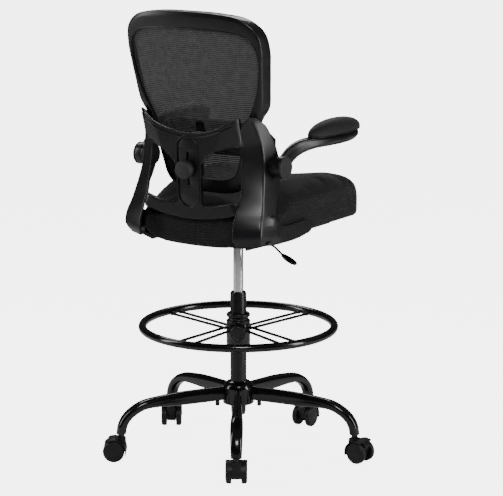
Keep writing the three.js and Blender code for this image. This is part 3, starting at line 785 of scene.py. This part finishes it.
def makeFootRing():
    z = footRing["height"]
    front = jointAxis("foot_ring_knob_turn")
    if front.dot(boxMiddle("foot_ring_knob")) < 0:
        front = -front
    side = Vector((-front.y, front.x, 0))

    def lay(u, v, height):
        return front * u + side * v + Vector((0, 0, height))

    loop = [lay(footRing["radius"] * math.cos(a), footRing["radius"] * math.sin(a), z)
            for a in (k * math.pi / 90 for k in range(180))]
    ring = cords("foot_ring_tube", [loop], footRing["tube"], "gloss", closed=True, sides=28)
    handOver(ring, "foot_ring_body", "gloss_black_steel", "foot_ring")
    lines = []
    welds = []
    ways = []
    for way in (-1, 1):
        for start, end in footRing["spokes"]:
            a = lay(start[0], way * start[1], z - footRing["spokeDrop"])
            b = lay(end[0], way * end[1], z - footRing["spokeDrop"])
            lines.append([a.lerp(b, t / 6) for t in range(7)])
            weld = a.lerp(b, footRing["weldShare"])
            welds += [weld + Vector((0, 0, 2)), weld + Vector((0, 0, -1))]
            ways += [(b - a).normalized()] * 2
    spokes = cords("foot_ring_spokes", lines, footRing["spoke"], "gloss", sides=20)
    handOver(spokes, "foot_ring_body", "gloss_black_steel")
    beads = studs("foot_ring_welds", welds, ways, 9, 22, "gloss")
    handOver(beads, "foot_ring_body", "gloss_black_steel")
    low, high = footRing["sleeveLow"], footRing["sleeveHigh"]
    r, bore = footRing["sleeve"], footRing["bore"]
    sleeveLine = [(bore, low), (r, low), (r, high), (bore, high), (bore, low)]
    sleeve = turn("foot_ring_sleeve", sleeveLine, "gloss", edge=2)
    handOver(sleeve, "foot_ring_body", "gloss_black_steel")
    collarLine = [
        (bore, 366.4), (r, 366.4), (r, 374), (r - 5, 378), (r - 5, 382), (r - 1, 386), (r - 1, 393),
        (r - 4, 396), (25, 394), (bore, 380), (bore, 366.4),
    ]
    collar = turn("ring_collar", collarLine, "nylon", edge=1.2)
    handOver(collar, "foot_ring_body", "black_nylon", "foot_ring_collar")
    gripRibs("ring_collar_ribs", "foot_ring_body", (0, 0, 389.5), (0, 0, 1), r - 1.2, 28, 2.2, 8)
    middle = Vector((0, 0, footRing["screwHeight"]))
    knobLine = [
        (0, 23.5), (4, 23.5), (4, r + 1), (11, r + 1), (11, r + 9), (21, r + 13), (23, r + 17),
        (23, r + 26), (20, r + 30), (15, r + 30.4), (14, r + 29), (0, r + 29.4),
    ]
    disc = turn("ring_clamp_knob", knobLine, "nylon", origin=middle, axis=front, edge=1.2)
    handOver(disc, "ring_clamp", "black_nylon", "foot_ring_knob")
    gripRibs("ring_clamp_ribs", "ring_clamp", middle + front * (r + 21.5), front, 22.4, 26, 2.4, 10)


makeFootRing()
print("foot ring made")


# seat: one stuffed cushion with a smooth top and a ribbed side panel
seat = {
    "halfWidth": 212, "rear": 222, "front": -322, "rearCorner": 112, "frontCorner": 46, "bow": 6,
    "under": 618, "underRise": 29, "crown": 764, "crownAt": -60, "bolster": 26, "rearDrop": 45,
    "waterfall": 0.004, "waterfallFrom": -240,
    "voxel": 0.006, "pressure": 4, "frames": 20, "cap": 0.007, "heldHeight": 0.085,
    "seam": 0.9, "seamHeight": 738, "seamRadius": 2.0,
    "ribPitch": 6.6, "ribBand": 84, "ribRadius": 3.0, "ribSink": 1.7,
    # how far each level draws in from the outline, and its share of the height
    "layers": [
        (16, 0), (3, 0.04), (0, 0.18), (0, 0.6), (3, 0.76), (11, 0.88), (27, 0.955), (56, 0.99),
        (100, 1), (150, 1),
    ],
}


outlines = {}


def seatOutline(inset, steps=14):
    inset = round(inset, 2)
    if inset in outlines:
        return outlines[inset]
    points = []
    corners = [(1, 1, "rearCorner"), (-1, 1, "rearCorner"), (-1, -1, "frontCorner"), (1, -1, "frontCorner")]
    for sx, sy, corner in corners:
        radius = max(12, seat[corner] - inset)
        cx = sx * (seat["halfWidth"] - inset - radius)
        cy = (seat["rear"] - inset if sy > 0 else seat["front"] + inset) - sy * radius
        for i in range(steps + 1):
            step = i if sx * sy > 0 else steps - i
            a = step / steps * math.pi / 2
            points.append((cx + sx * radius * math.cos(a), cy + sy * radius * math.sin(a)))
        if sx < 0 and sy < 0:
            span = seat["halfWidth"] - inset - radius
            for k in range(1, 12):
                share = k / 12
                x = mix(-span, span, share)
                bow = seat["bow"] * math.sin(math.pi * share)
                points.append((x, seat["front"] + inset - bow))
    outlines[inset] = evenly(points, 160)
    return outlines[inset]


# a closed line of points walked at even steps
def evenly(points, count):
    loop = [Vector((*p, 0)[:3]) for p in points]
    loop.append(loop[0])
    lengths = [0.0]
    for a, b in zip(loop, loop[1:]):
        lengths.append(lengths[-1] + (b - a).length)
    even = []
    k = 0
    for i in range(count):
        at = lengths[-1] * i / count
        while lengths[k + 1] < at:
            k += 1
        share = (at - lengths[k]) / max(1e-9, lengths[k + 1] - lengths[k])
        even.append(tuple(loop[k].lerp(loop[k + 1], share))[:2])
    return even


def seatUnder(x):
    return seat["under"] + seat["underRise"] * (abs(x) / seat["halfWidth"]) ** 2.2


def seatTop(x, y):
    fall = 0.00035 if y > seat["crownAt"] else 0.00042
    across = (x / seat["halfWidth"]) ** 2
    bolster = seat["bolster"] * clamp(mix(0.15, 1, (60 - y) / 200), 0.15, 1)
    rearDrop = seat["rearDrop"] * smooth((y - 30) / 120)
    waterfall = seat["waterfall"] * max(0, seat["waterfallFrom"] - y) ** 2
    return seat["crown"] - fall * (y - seat["crownAt"]) ** 2 - waterfall + (bolster - rearDrop) * across


def seatPoint(x, y, rise):
    return (x, y, mix(seatUnder(x), seatTop(x, y), rise))


# a line laid on a piece's surface, standing proud of it by so much
def laidOn(piece, line, proud):
    laid = []
    for point in line:
        spot, normal = piece.closest_point_on_mesh(place(point))[1:3]
        laid.append(fromFrame(spot + normal * (proud / 1000)))
    return laid


# the share of the height at which the side panel ends, at one place of the outline
def seamRise(x, y):
    under, over = seatUnder(x), seatTop(x, y)
    return min(seat["seam"], (seat["seamHeight"] - under) / (over - under))


# a point of the side panel, from 0 at the bottom to 1 at the seam, at a step round the outline
def sidePoint(k, share, sink):
    x, y = seatOutline(0)[k]
    rise = mix(0.1, seamRise(x, y), share)
    x, y = seatOutline(sideInset(rise) + sink)[k]
    return seatPoint(x, y, rise)


# air pressure swells a remeshed copy; what is below the seam is held
def puff(piece, sizes, heldBelow):
    even = piece.modifiers.new("even", "REMESH")
    even.mode = "VOXEL"
    even.voxel_size = sizes["voxel"]
    settle(piece)
    start = [v.co.copy() for v in piece.data.vertices]
    held = piece.vertex_groups.new(name="held")
    held.add([i for i, p in enumerate(start) if p.z < heldBelow], 1.0, "REPLACE")
    cloth = piece.modifiers.new("air", "CLOTH")
    cloth.settings.use_pressure = True
    cloth.settings.uniform_pressure_force = sizes["pressure"]
    cloth.settings.effector_weights.gravity = 0
    cloth.settings.vertex_group_mass = "held"
    cloth.point_cache.frame_start = 1
    cloth.point_cache.frame_end = sizes["frames"]
    for at in range(1, sizes["frames"] + 1):
        scene.frame_set(at)
    settle(piece)
    scene.frame_set(1)
    for vertex, before in zip(piece.data.vertices, start):
        moved = vertex.co - before
        if moved.length > sizes["cap"]:
            vertex.co = before + moved.normalized() * sizes["cap"]
    piece.vertex_groups.clear()
    return piece


def makeSeat():
    levels = spline(seat["layers"], 3)
    rings = [[seatPoint(x, y, rise) for x, y in seatOutline(inset + 2)] for inset, rise in levels]
    cushion = loft("seat_stuffed", rings, "seatTop", angle=180)
    puff(cushion, seat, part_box("seat_cushion")[0][2] + seat["heldHeight"])
    even = cushion.modifiers.new("even", "SMOOTH")
    even.factor = 0.5
    even.iterations = 6
    rounder = cushion.modifiers.new("rounder", "SUBSURF")
    rounder.levels = rounder.render_levels = 1
    settle(cushion)
    for face in cushion.data.polygons:
        face.use_smooth = True
    handOver(cushion, "seat", "seat_fabric", "seat_cushion")
    return cushion


def sideInset(rise):
    rows = spline(seat["layers"][:6], 6)
    for (a, low), (b, high) in zip(rows, rows[1:]):
        if low <= rise <= high:
            return mix(a, b, (rise - low) / max(1e-9, high - low))
    return 0


def makeRibs(cushion):
    steps = len(seatOutline(0))
    count = round(seat["ribBand"] / seat["ribPitch"])
    lines = []
    for row in range(count):
        line = [sidePoint(k, row / count, 0) for k in range(steps)]
        lines.append(laidOn(cushion, line, -seat["ribSink"]))
    ribs = cords("seat_side_ribs", lines, seat["ribRadius"], "seatRib", closed=True, sides=8)
    handOver(ribs, "seat", "seat_fabric")
    seam = laidOn(cushion, [sidePoint(k, 1, 0) for k in range(steps)], -0.6)
    piping = cords("seat_seam", [seam], seat["seamRadius"], "seatTop", closed=True)
    handOver(piping, "seat", "seat_fabric")
    rearMost = max(range(steps), key=lambda k: seatOutline(0)[k][1] - abs(seatOutline(0)[k][0]) * 0.01)
    upright = laidOn(cushion, [sidePoint(rearMost, k / 12, 0) for k in range(13)], 0.3)
    join = cords("seat_rear_seam", [upright], 1.8, "seatTop")
    handOver(join, "seat", "seat_fabric")


makeRibs(makeSeat())
print("seat made")


# back frame and the mesh stretched in it
back = {
    "outer": [
        (0, 1252), (95, 1249), (165, 1236), (203, 1203), (212, 1155), (208, 1108), (202, 1056),
        (194, 1002), (176, 970), (160, 930), (147, 885), (138, 840), (124, 790), (90, 764), (0, 758),
    ],
    "inner": [
        (0, 1205), (95, 1202), (162, 1192), (192, 1166), (200, 1132), (197, 1091), (187, 1046),
        (171, 1006), (154, 970), (137, 930), (124, 885), (112, 845), (96, 812), (66, 799), (0, 797),
    ],
    "slotHalf": 14, "slotLow": 856, "slotHigh": 954, "meshDepth": 11.2, "rim": 1.5,
    "lean": 0.21, "curve": 24, "shallow": 16, "deep": 42,
}


def backY(x, z):
    return 176 + back["lean"] * (z - 840) - back["curve"] * (x / 210) ** 2


def mirrored(half):
    return list(half) + [(-x, z) for x, z in reversed(half[1:-1])]


def frameDepth(z):
    shallow, deep = back["shallow"], back["deep"]
    return clamp(mix(shallow, deep, (z - 880) / 120), shallow, deep)


def makeBackFrame():
    outer = spline(mirrored(back["outer"]), 8, closed=True)
    inner = spline(mirrored(back["inner"]), 8, closed=True)
    rings = []
    rim = []
    for (ox, oz), (ix, iz) in zip(outer, inner):
        def at(t, deep):
            x, z = mix(ox, ix, t), mix(oz, iz, t)
            return (x, backY(x, z) - deep, z)
        depth = frameDepth(oz)
        front = at(0, depth)
        front = (front[0] * 1.019, front[1], front[2])
        ring = [at(0, 3), at(0.25, 0), at(1, 0.4), at(1, 14), at(0.55, min(20, depth)), front]
        rings.append(roundRing(ring, 2.6))
        rim.append(at(0.93, 0.6))
    frameSkin = loft("back_frame_shell", rings, "nylon", loop=True, angle=50)
    handOver(frameSkin, "seat", "black_nylon", "back_frame")
    ridges("back_frame_bead", [rim], back["rim"], closed=True)


def makeBackMesh():
    inner = spline(mirrored(back["inner"]), 6, closed=True)
    edge = [(x * 1.006, z + (1.5 if z > 1000 else -1.5)) for x, z in inner]
    half, low, high = back["slotHalf"], back["slotLow"], back["slotHigh"]
    corners = [(-half, low, 0), (half, low, 0), (half, high, 0), (-half, high, 0)]
    opening = [p[:2] for p in roundRing(corners, 10)]

    def bend(u, v, w):
        return (u, backY(u, v) - back["meshDepth"], v)
    cloth = plate("back_mesh_sheet", [edge, opening], 0, 0, bend, "openMesh", cells=(7, 9), angle=180)
    handOver(cloth, "seat", "back_mesh_cloth", "back_mesh")


makeBackFrame()
makeBackMesh()
print("back frame and mesh made")


# the bracket behind the mesh: arched cross piece, centre bar and lower bar in one moulding
bracket = {
    "half": 150, "centre": 38.5, "thick": 12, "edge": 2.4, "corner": 12, "slant": 0.62,
    "flat": [(690, 150), (735, 138), (800, 98), (880, 80), (965, 112), (990, 118)],
    "openTop": [(38, 848), (80, 884), (130, 900), (200, 900)],
    "insert": (32, 731, 922), "slot": (4, 788, 880), "insertThick": 6,
    "soften": 10, "dive": 1.2, "diveFrom": 145, "top": 932, "topRise": 43, "bottom": 698, "bottomRise": 20,
    "lipRadius": 1.9, "rimRadius": 1.6,
}


def onLine(stops, at):
    for (p, v), (q, w) in zip(stops, stops[1:]):
        if at <= q:
            return mix(v, w, (at - p) / (q - p))
    return stops[-1][1]


def barY(z):
    return mix(239, 251, (z - 740) / 190)


def bracketY(x, z):
    past = max(0, abs(x) - onLine(bracket["flat"], z))
    soft = past * past / (past + bracket["soften"])      # eases into the slanted ends
    dive = bracket["dive"] * max(0, abs(x) - bracket["diveFrom"])     # the ends sink into the uprights
    return barY(z) - bracket["slant"] * soft - dive


def topEdge(x):
    return bracket["top"] + bracket["topRise"] * (abs(x) / 146) ** 2.1


def openTop(x):
    return onLine(bracket["openTop"], max(38, abs(x)))


def openBottom(x):
    return 734 + max(0, abs(x) - 60) * 0.22


def lowerEdge(x):
    return bracket["bottom"] + bracket["bottomRise"] * (abs(x) / 140) ** 2


def stadium(half, low, high, steps=24):
    points = []
    for middle, start in ((high - half, 0), (low + half, math.pi)):
        for k in range(steps + 1):
            a = start + math.pi * k / steps
            points.append((half * math.cos(a), middle + half * math.sin(a)))
    return points


def alongX(height, start, end, step=6):
    count = max(1, round(abs(end - start) / step))
    return [(mix(start, end, k / count), height(mix(start, end, k / count))) for k in range(count + 1)]


# the edge of one window, open towards the upright, with its inner corners rounded
def windowLine(side):
    inner, outer = bracket["centre"], bracket["half"]
    line = [(outer, openBottom(outer)), (60, openBottom(60)), (inner, openBottom(inner))]
    line += [(inner, openTop(inner)), (80, openTop(80)), (130, openTop(130)), (outer, openTop(outer))]
    return [(side * p[0], p[1]) for p in roundPath([(x, z, 0) for x, z in line], bracket["corner"], 6)]


def onBracket(points, deep):
    return [(x, bracketY(x, z) - deep, z) for x, z in points]


def makeBracket():
    half = bracket["half"]
    outline = alongX(lowerEdge, -half, half) + windowLine(1) + alongX(topEdge, half, -half)
    outline += windowLine(-1)[::-1]
    insertHole = stadium(*bracket["insert"])

    def bend(u, v, w):
        return (u, bracketY(u, v) - bracket["thick"] / 2 + w, v)
    body = plate("bracket_moulding", [outline, insertHole],
                 bracket["thick"], bracket["edge"], bend, "nylon", cells=(5, 12), angle=40)
    handOver(body, "seat", "black_nylon", "back_bracket")
    rims = [onBracket([(x, topEdge(x) - drop) for x, z in alongX(topEdge, -136, 136)], deep)
            for drop, deep in ((2.6, 0.2), (13, -0.6))]
    ridges("bracket_top_lips", rims, bracket["lipRadius"], sides=12)
    lines = [onBracket(windowLine(side), 0.6) for side in (1, -1)]
    ridges("bracket_window_rims", lines, bracket["rimRadius"], sides=10)
    halfWidth, low, high = bracket["insert"]
    line = onBracket(stadium(halfWidth + 1.4, low - 1.4, high + 1.4), -0.2)
    ridges("slot_panel_rim", [line], bracket["rimRadius"], closed=True, sides=10)

    def bendInsert(u, v, w):
        return (u, barY(v) - 1.6 - bracket["insertThick"] / 2 + w, v)
    panelLines = [stadium(halfWidth + 0.2, low - 0.2, high + 0.2), stadium(*bracket["slot"], steps=10)]
    panel = plate("slot_panel", panelLines, bracket["insertThick"], 0.8, bendInsert, "nylon", cells=(0, 12))
    handOver(panel, "seat", "black_nylon", "slot_insert")


makeBracket()
print("bracket made")


# uprights with their feet beside the seat
upright = {
    # height, then x and y of the rear inner edge, the rear outer edge and the front outer edge
    "stations": [
        (640, 152, 248, 208, 216, 222, 160), (658, 147, 259, 217, 227, 228, 158),
        (680, 146, 257, 218, 227, 228, 158), (700, 145, 252, 216, 221, 226, 158),
        (726, 146, 241, 211, 207, 220, 151), (760, 146, 222, 205, 195, 213, 134),
        (804, 146, 212, 198, 181, 207, 114), (841, 143, 207, 194, 174, 203, 110),
        (868, 141, 204, 192, 173, 202, 112), (905, 139, 208, 187, 175, 199, 126),
        (930, 143, 216, 184, 184, 196, 142), (955, 152, 224, 181, 196, 192, 160),
        (977, 167, 216, 177, 209, 183, 194),
    ],
    "foot": [
        (194, 643), (130, 638), (60, 638), (10, 644), (-11, 649), (-19, 660), (-17, 672), (-5, 680),
        (12, 682), (78, 681), (128, 682), (148, 692), (160, 712), (172, 722), (194, 722),
    ],
    "wall": 11, "edge": 3.2, "footThick": 11, "footPlane": 222.5, "ridge": 1.5, "lip": 1.3, "lipPlane": 227.2,
}
pivot = {
    "y": 132, "z": 841, "boss": [(0, 186), (28, 186), (28, 206), (0, 206)],
    "collar": [(0, 206.3), (29, 206.3), (29, 213), (0, 213)],
    "hub": [(7.4, 213.4), (30, 213.4), (30, 231.4), (7.4, 231.4), (7.4, 213.4)],
    "cap": [
        (0, 231.8), (29.5, 231.8), (30.6, 233), (30.6, 236.4), (28.6, 238.4), (26.5, 238.7),
        (25.6, 237.8), (0, 238.6),
    ],
}


# one of the pivot's profiles turned about it
def onPivot(name, profile, material, side, edge):
    origin = (0, pivot["y"], pivot["z"])
    return turn(name, pivot[profile], material, origin=origin, axis=(side, 0, 0), edge=edge)


def makeUpright(side, name):
    rings = []
    ridge = []
    for z, xi, yi, xo, yo, xf, yf in spline(upright["stations"], 7):
        wall = min(upright["wall"], (xo - xi) * 0.6)
        ring = [
            (xo - wall * 0.9, yo - wall * 0.9, z), (xi + wall * 0.3, yi - wall, z),
            (xi, yi - wall * 0.3, z), (xi + 3, yi, z), (xo - 3, yo + 1, z), (xo, yo - 4, z),
            (xf, yf + 3, z), (xf - 2, yf, z), (xf - wall, yf, z),
        ]
        rings.append(roundRing([(side * p[0], p[1], p[2]) for p in ring], upright["edge"]))
        ridge.append((side * (xo - 1.4), yo - 0.6, z))
    body = loft(f"upright_{name}", roundEnds(rings, 2), "nylon", angle=50)
    footLine = spline(upright["foot"], 5, closed=True)

    def lay(u, v, w):
        # follows the upright's side and sinks into it at the rear, the top and the bottom
        face = 0.3 * smooth((u - 120) / 30) - 0.145 * max(0, u - 158)
        sunk = smooth((u - 140) / 20) * max(0, 657 - v) * 0.33
        face -= 0.008 * max(0, u - 168) ** 2 + 0.02 * max(0, v - 700) ** 2 + sunk
        return (side * (upright["footPlane"] + face + w), u, v)
    foot = plate("foot", [footLine], upright["footThick"], 2.2, lay, "nylon", cells=(12, 0))
    combine(body, foot, angle=40)
    handOver(body, "seat", "black_nylon", f"side_bracket_{name}")
    tab = loft(f"foot_tab_{name}", [roundRing([
        (side * 150, y, seatUnder(150) - 13), (side * 219, y, 641), (side * 222, y, 646), (side * 222, y, 652),
        (side * 214, y, seatUnder(212) - 1.5), (side * 190, y, seatUnder(190) - 1.5),
        (side * 150, y, seatUnder(150) - 1.5)], 2) for y in (-12, 60, 130, 196)], "nylon")
    handOver(tab, "seat", "black_nylon")
    ridges(f"upright_ridge_{name}", [ridge[8:-4]], upright["ridge"], sides=10)
    rim = [(side * upright["lipPlane"], y, z) for y, z in footLine if z > 656 and y < 152]
    ridges(f"foot_lip_{name}", [rim], upright["lip"], sides=10)
    handOver(onPivot(f"pivot_boss_{name}", "boss", "nylon", side, 1.2), "seat", "black_nylon")
    collar = onPivot(f"pivot_collar_{name}", "collar", "nylon", side, 1)
    handOver(collar, "seat", "black_nylon", f"arm_pivot_{name}")
    gripRibs(f"pivot_ribs_{name}", "seat", (side * 202.5, pivot["y"], pivot["z"]), (1, 0, 0), 28, 36, 2.6, 15)


# arms, their caps and their pads
arm = {
    "plane": 222, "padPlane": 246.5, "padMiddle": -98, "padLength": 126, "padWidth": 35, "padBottom": 907.5,
    "crown": 35,
    # along an arm: y, z, distance out towards the pad, half width and half height
    "stations": [
        (118, 852, 0, 9, 24), (96, 868, 1, 9.5, 22), (72, 880, 4, 11, 20), (42, 889, 11, 15, 17.5),
        (6, 892.5, 18, 22, 15), (-40, 892.5, 24, 27, 14.5), (-110, 891, 24, 29, 14), (-170, 892, 24, 24, 13),
        (-203, 896, 24, 15, 9), (-216, 899, 24, 6, 5),
    ],
    "recessFrom": -20, "recessTo": -190, "recessDeep": 4.5, "recessAngle": -22, "grooveAngle": 38,
    "sides": 72,
}


def armDent(y):
    along = clamp((arm["recessFrom"] - y) / (arm["recessFrom"] - arm["recessTo"]))
    lens = arm["recessDeep"] * math.sin(math.pi * along) ** 0.7 if 0 < along < 1 else 0

    def dent(angle):
        angle = angle if angle <= 180 else angle - 360
        line = math.exp(-((angle - arm["grooveAngle"]) / 4) ** 2)
        hollow = lens * math.exp(-((angle - arm["recessAngle"]) / 16) ** 4)
        return line + hollow
    return dent


def makeArm(side, name):
    steps = arm["sides"]
    rows = spline(arm["stations"], 10)
    rings = []
    for i, (y, z, out, halfWidth, halfHeight) in enumerate(rows):
        ahead, behind = rows[min(i + 1, len(rows) - 1)], rows[max(i - 1, 0)]
        along = Vector((0, ahead[0] - behind[0], ahead[1] - behind[1])).normalized()
        upward = Vector((0, along.z, -along.y))
        centre = Vector((side * (arm["plane"] + out), y, z))
        across = Vector((side, 0, 0))
        rings.append(ovalRing(centre, across, upward, halfWidth, halfHeight, steps, 0.62, armDent(y)))
    body = loft(f"arm_{name}_shell", roundEnds(rings, 3), "nylon", angle=60)
    hub = onPivot("hub", "hub", "nylon", side, 1.6)
    combine(body, hub, angle=40)
    handOver(body, f"{name}_arm", "black_nylon", f"arm_{name}")
    cap = onPivot(f"arm_cap_{name}_disc", "cap", "softNylon", side, 0.6)
    handOver(cap, f"{name}_arm", "black_nylon", f"arm_cap_{name}")

    def oval(scale, z):
        return [(side * (arm["padPlane"] + arm["padWidth"] * scale * math.cos(a)),
                 arm["padMiddle"] + arm["padLength"] * scale * math.sin(a), z)
                for a in (k * 2 * math.pi / steps for k in range(steps))]
    bottom = arm["padBottom"]
    rings = [oval(s, bottom) for s in (0.3, 0.7, 0.93)]
    rings += [oval(0.975, bottom + 1.2), oval(1, bottom + 4)]
    for degrees in (8, 16, 26, 36, 46, 56, 66, 75, 82, 87):
        a = math.radians(degrees)
        rings.append(oval(math.cos(a) ** 0.9, bottom + 5 + arm["crown"] * math.sin(a)))
    pad = loft(f"arm_pad_{name}_cushion", rings, "padSkin", angle=180)
    handOver(pad, f"{name}_arm", "arm_pad_skin", f"arm_pad_{name}")
    rim = [Vector(p) for p in oval(0.985, bottom + 0.8)]
    ridges(f"arm_pad_{name}_edge", [rim], 1.2, f"{name}_arm", closed=True)


for sideName, way in (("left", 1), ("right", -1)):
    makeUpright(way, sideName)
    makeArm(way, sideName)
print("uprights and arms made")


# lumbar pad and its clamp knob
lumbar = {
    "width": 190, "height": 905, "knob": 834, "rear": 170, "curve": 56, "halfThick": 16, "halfTall": 46,
    "standOff": 17, "droop": 9,
}


def makeLumbar():
    rings = []
    columns = 48
    for i in range(columns + 1):
        s = mix(-1, 1, i / columns)
        x = s * (lumbar["width"] - 8)
        end = math.sqrt(max(0.06, 1 - abs(s) ** 5))
        depth = lumbar["rear"] - lumbar["curve"] * (x / lumbar["width"]) ** 2 - lumbar["standOff"]
        slope = math.atan(2 * lumbar["curve"] * x / lumbar["width"] ** 2)
        across = Vector((math.sin(slope), math.cos(slope), 0))
        centre = Vector((x, depth, lumbar["height"] + 5 - lumbar["droop"] * s * s))
        halves = (lumbar["halfThick"] * end, lumbar["halfTall"] * end)
        rings.append(ovalRing(centre, across, Vector((0, 0, 1)), *halves, 40, 0.8))
    pad = loft("lumbar_cushion", roundEnds(rings, 3), "lumbar", angle=180)
    handOver(pad, "lumbar", "lumbar_foam", "lumbar_pad")
    rear = barY(lumbar["knob"]) + 0.6
    knobLine = [
        (0, 209), (3.2, 209), (3.2, rear), (22, rear), (22, rear + 10), (25, rear + 13),
        (25, rear + 24), (22.5, rear + 27), (0, rear + 28),
    ]
    spot = (0, 0, lumbar["knob"])
    knob = turn("lumbar_clamp_disc", knobLine, "softNylon", origin=spot, axis=(0, 1, 0), edge=1.6)
    handOver(knob, "lumbar_clamp", "black_nylon", "lumbar_knob")
    middle = (0, rear + 6.5, lumbar["knob"])
    gripRibs("lumbar_clamp_ribs", "lumbar_clamp", middle, (0, 1, 0), 22.4, 20, 4, 12)


makeLumbar()


# height lever
lever = {
    "pivot": (-50, -20, 594), "wire": 3,
    # along the grip: distance, half width and half height
    "sections": [(0, 5, 5), (9, 9, 6.5), (22, 13, 6), (37, 13, 5), (45, 8, 4)],
}


def makeLever():
    px, py, pz = lever["pivot"]
    along = Vector((-0.9, 0, -0.436))
    across, upward = Vector((0, 1, 0)), Vector((-0.436, 0, 0.9))
    rings = []
    for out, halfWidth, halfHeight in spline(lever["sections"], 6):
        centre = Vector((px - 82, py, pz - 26)) + along * out
        rings.append(ovalRing(centre, across, upward, halfWidth, halfHeight, 28, 0.85))
    grip = loft("lever_paddle", roundEnds(rings, 2), "gloss", angle=60)
    handOver(grip, "lever", "black_nylon", "lever_grip")
    path = spline([(px + 10, py, pz), (px - 40, py, pz), (px - 54, py, pz - 5), (px - 84, py, pz - 27)], 8)
    rod = cords("lever_wire", [path], lever["wire"], "gloss", sides=16)
    handOver(rod, "lever", "plated_steel", "lever_rod")


makeLever()
print("lumbar pad and lever made")


# parts that stay as the frame has them get their finishes
kept = {"lift_bush": "nylon", "seat_pan": "nylon", "seat_mechanism": "gloss", "lumbar_carrier": "nylon"}
for number in range(1, 6):
    kept[f"caster_stem_{number}"] = "gloss"
    kept[f"caster_axle_{number}"] = "steel"
for node, finish in kept.items():
    part = frame["nodes"][node]
    for slot in part.material_slots:
        slot.material = finishes[finish]
print("finishes given")
